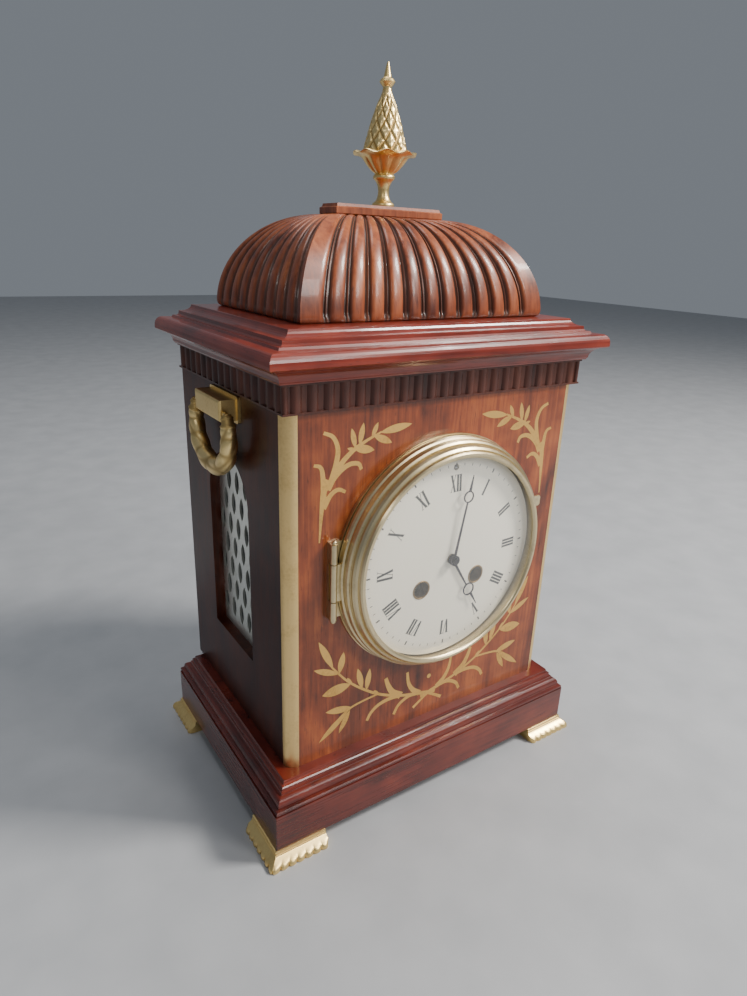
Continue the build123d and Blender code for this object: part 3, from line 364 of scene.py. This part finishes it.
finish_nodes(
    STEEL, "back_screws", "finial_rod", "movement_straps", "pendulum_rod", "strike_hammer", "regulator_arbor",
)
finish_nodes(SILK, "grille_cloth_left", "grille_cloth_right")
finish_nodes(BLUED, "hour_hand", "minute_hand", "hand_collet")
finish_nodes(ENAMEL, "dial")
finish_nodes(GLASS, "bezel_glass")


# ------------------------------------------------------------------ surfaces from numpy grids
def sheet_faces(rows, columns, close_rows, close_columns, start):
    """Quads of a grid whose points are numbered from start; a closed direction wraps round."""
    i = np.arange(rows if close_rows else rows - 1)
    j = np.arange(columns if close_columns else columns - 1)
    i, j = np.meshgrid(i, j, indexing="ij")
    a = i * columns + j
    b = ((i + 1) % rows) * columns + j
    c = ((i + 1) % rows) * columns + (j + 1) % columns
    d = i * columns + (j + 1) % columns
    return np.stack([a, b, c, d], -1).reshape(-1, 4) + start


def clean(mesh, weld):
    """Merges doubled points and turns every shell's faces outwards."""
    work = bmesh.new()
    work.from_mesh(mesh)
    bmesh.ops.remove_doubles(work, verts=work.verts, dist=weld)
    bmesh.ops.dissolve_degenerate(work, edges=work.edges, dist=weld * 0.1)
    bmesh.ops.recalc_face_normals(work, faces=work.faces)
    work.to_mesh(mesh)
    work.free()


def piece(name, grids, material, body, replaces=(), angle=35.0, weld=1e-6, shade=None):
    """One mesh from several grids of points in millimetres, each (points, close_rows, close_columns).
    Edges sharper than the angle stay crisp. Points nearer than weld metres are merged. shade is a
    number per point that its finish reads as how deep in the carving it lies."""
    points = []
    faces = []
    start = 0
    for grid, close_rows, close_columns in grids:
        rows, columns = grid.shape[:2]
        points.append(grid.reshape(-1, 3))
        faces.append(sheet_faces(rows, columns, close_rows, close_columns, start))
        start += rows * columns
    mesh = bpy.data.meshes.new(name)
    mesh.from_pydata((np.concatenate(points) * MM).tolist(), [], np.concatenate(faces).tolist())
    obj = bpy.data.objects.new(name, mesh)
    bpy.context.scene.collection.objects.link(obj)
    if shade is not None:
        hollow = mesh.attributes.new("hollow", "FLOAT", "POINT")
        hollow.data.foreach_set("value", np.asarray(shade, np.float32))
    clean(mesh, weld)
    mesh.materials.append(material)
    mesh.polygons.foreach_set("use_smooth", np.ones(len(mesh.polygons), bool))
    mesh.set_sharp_from_angle(angle=math.radians(angle))
    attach(obj, body)
    if replaces:
        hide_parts(*replaces)
    return obj


def capped(tube):
    """A tube with one more row at each end, gathered at the middle of that end."""
    first = np.broadcast_to(tube[:1].mean(1, keepdims=True), tube[:1].shape)
    last = np.broadcast_to(tube[-1:].mean(1, keepdims=True), tube[-1:].shape)
    return np.concatenate([first, tube, last], 0)


# ------------------------------------------------------------------ carved dome
def comb(u, inner, end):
    """Distance from the middle of the nearest lobe, in lobe widths, at each place u from -1 to 1 across
    a face with `inner` equal lobes between two leaves `end` wide. A leaf counts from its own half
    width, and stays at 0 from there to the corner."""
    total = inner + 2.0 * end
    run = (u + 1.0) * 0.5 * total
    from_corner = np.minimum(run, total - run)
    leaf = np.maximum(0.5 - (end - from_corner), 0.0)
    lobe = np.abs(run - (np.floor(run - end) + end + 0.5))
    return np.where(from_corner < end, leaf, lobe)


def lobe_drop(t):
    """Depth of the carving below the lobe's crown, 0 to 1, for t from 0 at the crown to 0.5 at the lobe's
    edge. With s = t / 0.36 it is 0.22 s^2 + 0.78 (1 - (1 - s^4)^(1/3)) up to s = 1. Beyond that it is a
    groove with a thin bead in it, 1 - 0.5 (1 - ((0.5 - t) / 0.06)^2), the bracket never below 0."""
    s = t / 0.36
    crown = 0.22 * s ** 2 + 0.78 * (1.0 - np.cbrt(np.clip(1.0 - s ** 4, 0.0, 1.0)))
    groove = 1.0 - 0.50 * np.clip(1.0 - ((0.5 - t) / 0.060) ** 2, 0.0, 1.0)
    return np.clip(np.where(t < 0.36, crown, groove), 0.0, 1.0)


def dome():
    """Gadrooned dome. At angle a the plan is a rectangle of half sides 36.5 + 46.9 cos a and
    9.1 + 45.5 cos a, 53.2 sin a above the foot, and the lowest 4.5 degrees round in by up to 2.2 mm.
    Each face is carved inwards along its own normal by 0.20 x lobe width x lobe_drop, all of it from
    5 degrees up and 0.15 of it at the foot. Lobes fan with the face."""
    foot_height, rise, under, crown_height = 299.75, 53.2, 299.7, 352.9
    swell_x, swell_y = 46.9, 45.5
    a = np.radians(np.concatenate([np.linspace(0.0, 6.0, 9)[:-1], np.linspace(6.0, 88.0, 44), [89.2, 90.0]]))
    near_foot = 1.0 - np.clip(a / math.radians(4.5), 0.0, 1.0)
    round_in = 2.2 * (1.0 - np.sqrt(np.clip(1.0 - near_foot ** 2, 0.0, 1.0)))
    half_x = (36.5 + swell_x * np.cos(a) - round_in)[:, None]
    half_y = (9.1 + swell_y * np.cos(a) - round_in)[:, None]
    height = (foot_height + rise * np.sin(a))[:, None]
    share = np.clip(np.degrees(a) / 5.0, 0.15, 1.0)[:, None]

    def face(steps, inner, end, along, across, swell):
        """Places along and across the face, heights, and how deep each lies in the carving."""
        u = np.linspace(-1.0, 1.0, steps + 1)[None, :]
        drop = lobe_drop(comb(u, inner, end))
        cut = 0.20 * (2.0 * along / (inner + 2.0 * end)) * drop * share
        normal = np.stack([rise * np.cos(a), swell * np.sin(a)], -1)
        normal /= np.linalg.norm(normal, axis=1)[:, None]
        return along * u, across - cut * normal[:, :1], height - cut * normal[:, 1:], drop + 0.0 * along

    def level(row, z, size):
        """A row of the dome at height z, drawn in round the middle to a share of its size."""
        return (row - middle) * np.array([size, size, 0.0]) + middle + np.array([0.0, 0.0, z])

    middle = np.array([0.0, CASE_MIDDLE, 0.0])
    fx, fy, fz, front_groove = face(14 * 22, 11, 1.25, half_x, half_y, swell_y)
    sy, sx, sz, side_groove = face(9 * 24, 8, 0.55, half_y, half_x, swell_x)
    faces = [(fx, -fy, fz), (sx, sy, sz), (-fx, fy, fz), (-sx, -sy, sz)]
    ring = np.concatenate([np.stack(points, -1)[:, :-1] for points in faces], 1) + middle
    groove = np.concatenate([front_groove[:, :-1], side_groove[:, :-1]] * 2, 1)
    grid = np.concatenate([
        level(ring[:1], under, 1e-5), level(ring[:1], under, 1.0), ring, level(ring[-1:], crown_height, 1e-5),
    ], 0)
    shade = np.concatenate([groove[:1], groove[:1], groove, groove[-1:]], 0)
    piece("dome_gadroons", [(grid, False, True)], WOOD["carved"], "case",
          ("gadrooned_dome",), 40.0, shade=shade.reshape(-1))


# ------------------------------------------------------------------ finial
def finial_cup():
    """Stem and petal cup, turned: rows of height, radius r, flute f and wave w above the dome plate, drawn
    at angle q with radius r (1 + f (|cos 4.5 q| - 0.6)) and lifted by w cos 9 q, so it has 9 petals."""
    petals = 9
    stem = [(0.0, 0.0), (0.0, 6.3), (1.0, 6.5), (1.9, 6.1), (2.6, 5.0), (4.0, 3.9), (6.0, 3.3), (8.5, 3.1),
            (11.0, 3.5), (12.6, 4.2), (13.6, 4.8), (14.2, 5.5), (14.9, 6.2), (15.8, 6.35), (16.6, 6.0),
            (17.2, 5.4)]
    cup = [(17.6, 5.5, 0.10, 0.0), (18.6, 7.0, 0.14, 0.0), (20.0, 8.4, 0.16, 0.0), (22.0, 10.2, 0.15, 0.0),
           (24.0, 11.7, 0.13, 0.0), (25.4, 12.9, 0.10, 0.10), (26.4, 14.6, 0.07, 0.25), (27.0, 16.3, 0.05, 0.50),
           (27.3, 17.6, 0.04, 0.70), (27.6, 18.0, 0.03, 0.80), (28.0, 17.6, 0.03, 0.75), (28.4, 16.0, 0.03, 0.55),
           (28.2, 13.6, 0.02, 0.3), (27.6, 9.0, 0.0, 0.0), (27.0, 0.0, 0.0, 0.0)]
    rows = np.array([(height, radius, 0.0, 0.0) for height, radius in stem] + cup)
    z, r, flute, wave = (rows[:, column, None] for column in range(4))
    q = np.linspace(0.0, TAU, 180, endpoint=False)[None, :]
    r = r * (1.0 + flute * (np.abs(np.cos(petals * q / 2.0)) - 0.6))
    z = z + wave * np.cos(petals * q)
    grid = np.stack([r * np.cos(q), CASE_MIDDLE + r * np.sin(q), z + PLATE_TOP], -1)
    piece("finial_cup_cast", [(grid, False, True)], BRASS["bright"], "case", ("finial_cup",), 50.0)


def finial_scales():
    """Pineapple cone with staggered lozenge scales. Their edges are the lines where 10 q / 2 pi + h / 11
    or 10 q / 2 pi - h / 11 is whole, h being the height above the cone's foot."""
    foot_z, tip_z, around = 27.6, 63.4, 216
    z = np.linspace(foot_z, tip_z, 150)[:, None]
    outline = np.array([(27.6, 11.2), (28.6, 12.0), (31.0, 11.6), (38.6, 9.7), (44.8, 7.8), (51.0, 5.7),
                        (56.0, 3.5), (60.0, 2.3), (62.7, 2.7), (63.4, 2.7)])
    q = np.linspace(0.0, TAU, around, endpoint=False)[None, :]
    turn = 10.0 * q / TAU
    up = (z - foot_z) / 11.0
    first = np.abs(((turn + up) % 1.0) * 2.0 - 1.0)
    second = np.abs(((turn - up) % 1.0) * 2.0 - 1.0)
    keel = np.clip(1.0 - np.abs(first - second), 0.0, 1.0)
    scale = np.clip(np.minimum(1.0 - first, 1.0 - second) * 2.6, 0.0, 1.0)
    tall = np.interp(z, [27.6, 29.0, 54.0, 58.5, 63.4], [0.6, 1.25, 0.7, 0.0, 0.0])
    r = np.interp(z, outline[:, 0], outline[:, 1]) + tall * (scale * (0.55 + 0.45 * keel) - 0.45)
    skin = np.stack([r * np.cos(q), CASE_MIDDLE + r * np.sin(q), PLATE_TOP + z + 0.0 * r], -1)
    axis = np.array([0.0, CASE_MIDDLE, 0.0])
    low, high = (row * np.array([0.0, 0.0, 1.0]) + axis for row in (skin[:1], skin[-1:]))
    edge_row = np.zeros((1, around))
    shade = np.concatenate([edge_row, (1.0 - scale) * (tall > 0.2), edge_row], 0)
    piece("finial_scales", [(np.concatenate([low, skin, high], 0), False, True)], BRASS["scales"], "case",
          ("finial_pineapple",), 60.0, shade=shade.reshape(-1))


# ------------------------------------------------------------------ feet
def foot(node, sx, sy):
    """Corner bracket foot: its section, (out from the plinth, height), is carried round a mitred L, each
    leg running t from 0 at the corner to 1. Low on the outer edge it is pulled in between rounded
    gadroons by 1.3 (1 - |sin 7 pi t|^0.6) mm, and by up to 3.2 mm round the last 0.07 of the leg."""
    corner_x, corner_y, end_x, end_y = 117.2, 81.8, 85.2, 49.9
    section = np.array([
        (-15.0, 9.2), (0.05, 9.2), (0.9, 8.9), (0.9, 8.2), (0.3, 7.9), (0.5, 7.5), (1.3, 7.2), (1.3, 6.6),
        (0.9, 6.4), (1.4, 5.9), (2.4, 5.2), (3.6, 4.5), (4.9, 3.6), (5.9, 2.6), (6.4, 1.6), (6.5, 0.7),
        (6.2, 0.0), (-15.0, 0.0),
    ])
    out, z = section[None, :, 0], section[None, :, 1]
    t = np.linspace(0.0, 1.0, 64)[:, None]
    lobe = np.abs(np.sin(7.0 * math.pi * t)) ** 0.6
    low_edge = np.clip((4.2 - z) / 2.6, 0.0, 1.0) * (out > 1.0)
    round_end = np.sqrt(np.clip(1.0 - np.clip((t - 0.93) / 0.07, 0.0, 1.0) ** 2, 0.0, 1.0))
    out = out - 1.3 * (1.0 - lobe) * low_edge - 3.2 * (1.0 - round_end) * low_edge
    x, y, z = corner_x + out, corner_y + out, z + 0.0 * out
    leg_x = np.stack([x + (end_x - x) * t, y, z], -1)
    leg_y = np.stack([x, y + (end_y - y) * t, z], -1)
    path = np.concatenate([leg_x[::-1], leg_y[1:]], 0) * np.array([sx, sy, 1.0])
    piece(node + "_cast", [(capped(path), False, True)], BRASS["bright"], "case", (node,), 38.0)


# ------------------------------------------------------------------ drop handles
def handle_line(count):
    """Middle line of the handle, (y, z) from its pivot: a smooth curve through a few points down one
    side, the lowest point, and the same points up the other side."""
    side = [(-22.4, 0.4), (-24.2, -4.4), (-24.8, -10.0), (-24.0, -17.0), (-20.6, -24.5), (-12.5, -31.0)]
    knots = np.array(side + [(0.0, -33.5)] + [(-y, z) for y, z in reversed(side)])
    place = np.linspace(0.0, 1.0, count) * (len(knots) - 1)
    span = np.clip(place.astype(int), 0, len(knots) - 2)
    f = (place - span)[:, None]
    held = np.concatenate([2 * knots[:1] - knots[1:2], knots, 2 * knots[-1:] - knots[-2:-1]], 0)
    p0, p1, p2, p3 = (held[span + step] for step in range(4))
    return 0.5 * (2 * p1 + (p2 - p0) * f + (2 * p0 - 5 * p1 + 4 * p2 - p3) * f ** 2
                  + (3 * p1 - p0 - 3 * p2 + p3) * f ** 3)


def drop_handle(side, sx):
    """Cast drop handle: a round section swelling from 2.8 mm at the ears to 5.1 mm at the foot, times
    0.95 + 0.14 |sin(15 m) cos(1.5 q + 7 m)| for its leaves, where m falls from 1 at the ears to 0 at the
    foot and q runs round the section. Two collars stand at each ear, and a pin joins the ears."""
    ear_x, ear_z, pin_reach, pin_radius, steps = 110.5, 250.5, 22.6, 1.3, 160
    line = handle_line(steps)
    tangent = np.gradient(line, axis=0)
    tangent /= np.linalg.norm(tangent, axis=1)[:, None]
    q = np.linspace(0.0, TAU, 40, endpoint=False)[None, :]
    m = np.abs(2.0 * np.linspace(0.0, 1.0, steps) - 1.0)[:, None]
    r = 2.8 + 2.3 * np.clip(1.0 - (m / 0.95) ** 2, 0.0, 1.0) ** 0.7
    collar = np.exp(-((m - 0.80) / 0.022) ** 2) * 0.9 + np.exp(-((m - 0.93) / 0.02) ** 2) * 0.7
    leaf = np.abs(np.sin(15.0 * m) * np.cos(1.5 * q + 7.0 * m)) * np.clip((0.80 - m) / 0.06, 0.0, 1.0)
    tip = np.sqrt(np.clip(1.0 - np.clip((m - 0.985) / 0.015, 0.0, 1.0) ** 2, 0.0, 1.0))
    r = ((r + collar) * (0.95 + 0.14 * leaf)) * np.clip(tip, 1e-4, 1.0)
    y = line[:, :1] - tangent[:, 1:] * r * np.cos(q)
    z = line[:, 1:] + tangent[:, :1] * r * np.cos(q)
    loop = np.stack([sx * ear_x - sx * r * np.sin(q), CASE_MIDDLE + y, ear_z + z], -1)
    q = np.linspace(0.0, TAU, 24, endpoint=False)[None, :]
    y = np.array([-pin_reach, -pin_reach, pin_reach, pin_reach])[:, None]
    r = np.array([0.0, pin_radius, pin_radius, 0.0])[:, None]
    pin = np.stack([sx * ear_x + r * np.cos(q), CASE_MIDDLE + y + 0.0 * q, ear_z + r * np.sin(q)], -1)
    shade = np.concatenate([np.clip(1.0 - 2.2 * leaf, 0.0, 1.0).reshape(-1) * 0.8, np.zeros(pin[..., 0].size)])
    body = "bail_" + side
    piece("drop_handle_" + side, [(loop, False, True), (pin, False, True)], BRASS["scales"], body,
          (body,), 60.0, shade=shade)


# ------------------------------------------------------------------ dial painting
def dial_y(x, z):
    """Front of the domed enamel: -76.2 - 2.6 (1 - (r/64)^2)."""
    return -76.2 - 2.6 * (1.0 - (x * x + z * z) / 64.0 ** 2)


def clockwise(x, z, degrees):
    """Points (x, z) from the dial's centre, turned clockwise as seen from the front."""
    angle = math.radians(degrees)
    return np.stack([x * math.cos(angle) + z * math.sin(angle), z * math.cos(angle) - x * math.sin(angle)], -1)


def painted(name, quads):
    """Flat painted strokes, each four (x, z) corners from the dial's centre, laid 0.05 mm proud of
    the enamel and split lengthways so that they follow its dome."""
    quads = np.asarray(quads, float)
    f = np.linspace(0.0, 1.0, 5)[None, :, None]
    left = quads[:, None, 0] * (1 - f) + quads[:, None, 3] * f
    right = quads[:, None, 1] * (1 - f) + quads[:, None, 2] * f
    strip = np.stack([left, right], 2)
    x, z = strip[..., 0], strip[..., 1]
    top = np.stack([x, dial_y(x, z) - 0.05, z + DIAL_HEIGHT], -1)
    under = np.stack([x, dial_y(x, z) + 0.02, z + DIAL_HEIGHT], -1)
    strokes = np.stack([top[..., 0, :], top[..., 1, :], under[..., 1, :], under[..., 0, :]], 2)
    grids = [(capped(stroke), False, True) for stroke in strokes]
    piece(name, grids, BLACK, "case", (), 30.0, 1e-8)


def numeral_strokes(word):
    """Strokes of a Roman numeral in its own square frame: (x, z) corners, height -5.4 to 5.4, with
    broad and hair lines and hairline serifs."""
    top, low, broad, hair, serif_half = 5.4, -5.4, 0.88, 0.20, 0.12
    width = {"I": 2.5, "V": 6.0, "X": 5.8}

    def stroke(low_x, top_x, low_half, top_half):
        return [(low_x - low_half, low), (low_x + low_half, low), (top_x + top_half, top), (top_x - top_half, top)]

    def serif(x, half, z):
        return [(x - half, z - serif_half), (x + half, z - serif_half),
                (x + half, z + serif_half), (x - half, z + serif_half)]

    strokes = []
    x = -sum(width[letter] for letter in word) / 2.0
    for letter in word:
        far = x + width[letter]
        middle = x + width[letter] / 2.0
        if letter == "I":
            strokes += [
                stroke(middle, middle, broad, broad),
                serif(middle, 1.25, low), serif(middle, 1.25, top),
            ]
        elif letter == "V":
            strokes += [
                stroke(middle - 0.2 * broad, x + 1.5, 0.8 * broad, broad),
                stroke(middle + 0.2 * hair, far - 1.0, 1.2 * hair, hair),
                serif(x + 1.5, 1.4, top), serif(far - 1.0, 0.9, top),
            ]
        else:
            strokes += [
                stroke(far - 1.3, x + 1.3, broad, broad),
                stroke(x + 1.0, far - 1.0, hair, hair),
                serif(x + 1.3, 1.3, top), serif(far - 1.3, 1.3, low),
                serif(x + 1.0, 0.9, low), serif(far - 1.0, 0.9, top),
            ]
        x = far
    return np.array(strokes)


def dial_marks():
    """Twelve radial numerals centred 46.5 mm out, and sixty minute ticks 57.2 mm out."""
    numeral_radius, tick_radius = 46.5, 57.2
    words = ["XII", "I", "II", "III", "IIII", "V", "VI", "VII", "VIII", "IX", "X", "XI"]
    numerals = []
    for hour, word in enumerate(words):
        shape = numeral_strokes(word) * np.array([0.80, 0.92])
        numerals.append(clockwise(shape[..., 0], shape[..., 1] + numeral_radius, 30.0 * hour))
    painted("dial_numerals", np.concatenate(numerals))
    ticks = []
    for minute in range(60):
        half, reach = (0.45, 1.3) if minute % 5 == 0 else (0.18, 0.8)
        x = np.array([-half, half, half, -half])
        z = np.array([-reach, -reach, reach, reach]) + tick_radius
        ticks.append(clockwise(x, z, 6.0 * minute))
    painted("dial_minute_ticks", ticks)


def winding_bush(side, sign):
    """Brass bush in a winding hole: a ring of radius 5.55 with a 0.5 mm section, and a 0.3 mm tube that
    ends 7 mm behind the enamel's face. The tube is a dark sleeve that stands for the hole's shadowed
    inside, and ring and tube are in the darkened bush brass as painted shade."""
    across, height = sign * 20.8, -15.5
    q = np.linspace(0.0, TAU, 72, endpoint=False)[:, None]
    p = np.linspace(0.0, TAU, 14, endpoint=False)[None, :]
    r = 5.55 + 0.50 * np.cos(p)
    x = across + r * np.cos(q)
    z = height + r * np.sin(q)
    ring = np.stack([x, dial_y(x, z) - 0.30 * np.sin(p) - 0.05, z + DIAL_HEIGHT], -1)
    wall = np.array([(5.42, 0.1), (5.12, 0.1), (5.12, 7.0), (5.42, 7.0)])[None, :, :]
    x = across + wall[..., 0] * np.cos(q)
    z = height + wall[..., 0] * np.sin(q)
    tube = np.stack([x, dial_y(x, z) + wall[..., 1], z + DIAL_HEIGHT], -1)
    piece("winding_bush_" + side, [(ring, True, True), (tube, True, True)], BRASS["bush"], "case",
          (), 60.0)


def moon_hand(node, degrees, ring_at, ring, band, length, root, front, back, boss):
    """Moon hand at an angle past twelve: a boss from boss[0] to boss[1], a slim arm, an open round ring
    centred ring_at out, and a point that ends length out. It lies from y = front to y = back, and the
    arm's half width falls from root to 0.42 mm."""
    q = np.linspace(0.0, TAU, 64, endpoint=False)[:, None]
    mid = 0.5 * (front + back)
    half = 0.5 * (back - front)

    def lay(x, out, y):
        """Hand frame to clock frame: out runs from the arbor."""
        turned = clockwise(x, out, degrees)
        return np.stack([turned[..., 0], y, DIAL_HEIGHT + turned[..., 1]], -1)

    def hoop(centre, inner, outer):
        r = np.array([[inner, outer, outer, inner]])
        deep = np.array([[-1.0, -1.0, 1.0, 1.0]])
        return lay(r * np.cos(q), centre + r * np.sin(q), mid + half * deep + 0.0 * q)

    def arm(start, stop, start_half, stop_half):
        t = np.linspace(0.0, 1.0, 12)[:, None]
        side = np.array([[-1.0, 1.0, 1.0, -1.0]])
        deep = np.array([[-1.0, -1.0, 1.0, 1.0]])
        wide = start_half + (stop_half - start_half) * t
        out = start + (stop - start) * t + 0.0 * side
        return capped(lay(side * wide, out, mid + 0.92 * half * deep + 0.0 * t))

    grids = [
        (hoop(0.0, boss[0], boss[1]), True, True),
        (arm(boss[1] - 0.2, ring_at - ring + 0.3, root, 0.42), False, True),
        (hoop(ring_at, ring - band, ring), True, True),
        (arm(ring_at + ring - 0.2, length, 0.85, 0.12), False, True),
    ]
    piece(node + "_moon", grids, BLUED, node + "_assembly", (node,), 30.0, 1e-7)


# ------------------------------------------------------------------ side silks
def silk(side, sx):
    """Silk stretched behind the fret: a flat sheet with a round head, y = 10.1 +- w(z), where w is 33.4
    up to the spring line at 191.5 and sqrt(33.5^2 - (z - 191.5)^2) above. It sways in and out by
    0.12 sin(y / 7) sin(z / 11) mm."""
    middle, spring, foot_z, half, head = 10.1, 191.5, 92.0, 33.4, 33.5
    rise = np.sin(np.linspace(0.0, math.pi / 2, 25)[1:])
    h = np.concatenate([np.linspace(foot_z, spring, 60), spring + half * rise])[:, None]
    w = np.where(h <= spring, half, np.sqrt(np.clip(head ** 2 - (h - spring) ** 2, 0.3, None)))
    u = np.linspace(-1.0, 1.0, 41)[None, :]
    y = middle + u * w
    z = h + 0.0 * u
    x = sx * (93.05 + 0.12 * np.sin(y / 7.0) * np.sin(z / 11.0))
    sheet = piece("silk_" + side, [(np.stack([x, y, z], -1), False, False)], SILK, "case",
                  ("grille_cloth_" + side,), 60.0)


SIDES = (("left", -1.0), ("right", 1.0))
dome()
finial_cup()
finial_scales()
for end, sy in (("front", -1.0), ("rear", 1.0)):
    for side, sx in SIDES:
        foot("foot_" + end + "_" + side, sx, sy)
for side, sx in SIDES:
    drop_handle(side, sx)
dial_marks()
for side, sx in SIDES:
    winding_bush(side, sx)
moon_hand("hour_hand", 148.0, ring_at=27.5, ring=4.2, band=0.75, length=41.5, root=0.85,
          front=-80.3, back=-79.7, boss=(1.6, 3.2))
moon_hand("minute_hand", 10.5, ring_at=39.0, ring=3.6, band=0.65, length=52.0, root=0.80,
          front=-81.6, back=-81.0, boss=(1.2, 2.6))
for side, sx in SIDES:
    silk(side, sx)


# ------------------------------------------------------------------ camera, lights, floor
def aim_camera():
    """Camera on the near left corner, looking down at the case."""
    yaw, pitch, roll = (math.radians(a) for a in (34.25, -20.61, 2.15))
    ahead = Vector((math.sin(yaw) * math.cos(pitch), math.cos(yaw) * math.cos(pitch), math.sin(pitch)))
    across = Vector((math.cos(yaw), -math.sin(yaw), 0.0))
    upward = across.cross(ahead)
    side = across * math.cos(roll) + upward * math.sin(roll)
    top = upward * math.cos(roll) - across * math.sin(roll)
    data = bpy.data.cameras.new("view_camera")
    data.lens = 24.27
    data.sensor_width = 36.0
    data.clip_start = 0.01
    data.clip_end = 50.0
    camera = bpy.data.objects.new("view_camera", data)
    bpy.context.scene.collection.objects.link(camera)
    turn = Matrix((side, top, -ahead)).transposed().to_4x4()
    camera.matrix_world = Matrix.Translation((-0.2402, -0.3478, 0.3374)) @ turn
    bpy.context.scene.camera = camera


def lamp(name, place, target, size, power, colour):
    """Soft square light aimed at a point."""
    data = bpy.data.lights.new(name, "AREA")
    data.size = size
    data.energy = power
    data.color = colour
    obj = bpy.data.objects.new(name, data)
    bpy.context.scene.collection.objects.link(obj)
    obj.location = place
    obj.rotation_mode = "QUATERNION"
    obj.rotation_quaternion = (Vector(target) - Vector(place)).to_track_quat("-Z", "Y")


def room_light():
    """Cool grey light from all round."""
    world = bpy.data.worlds.new("studio_air")
    world.use_nodes = True
    background = world.node_tree.nodes["Background"]
    background.inputs[0].default_value = (0.30, 0.33, 0.37, 1.0)
    background.inputs[1].default_value = 0.60
    bpy.context.scene.world = world


def pale_floor():
    """Matt grey floor, 8 m square, at Z 0."""
    paint = Paint("pale_floor")
    grain = paint.noise(25.0, 3.0, 0.5)
    paint.set("Base Color", paint.ramp(grain, (0.3, (0.36, 0.37, 0.385)), (0.7, (0.41, 0.42, 0.435))))
    paint.set("Roughness", 0.7)
    mesh = bpy.data.meshes.new("floor")
    mesh.from_pydata([(-4, -4, 0), (4, -4, 0), (4, 4, 0), (-4, 4, 0)], [], [(0, 1, 2, 3)])
    mesh.materials.append(paint.material)
    floor = bpy.data.objects.new("floor", mesh)
    bpy.context.scene.collection.objects.link(floor)


aim_camera()
lamp("key_light", (1.15, -0.80, 1.45), (0.0, 0.0, 0.20), 0.40, 50.0, (1.0, 0.96, 0.91))
lamp("front_light", (0.75, -1.6, 1.15), (0.0, 0.0, 0.18), 0.5, 15.0, (1.0, 0.97, 0.93))
lamp("side_glow", (-1.1, -1.2, 1.25), (-0.1, 0.0, 0.20), 0.35, 3.0, (1.0, 0.97, 0.92))
lamp("top_light", (0.1, 0.35, 1.9), (0.0, 0.0, 0.2), 0.9, 12.0, (0.95, 0.97, 1.0))
room_light()
pale_floor()
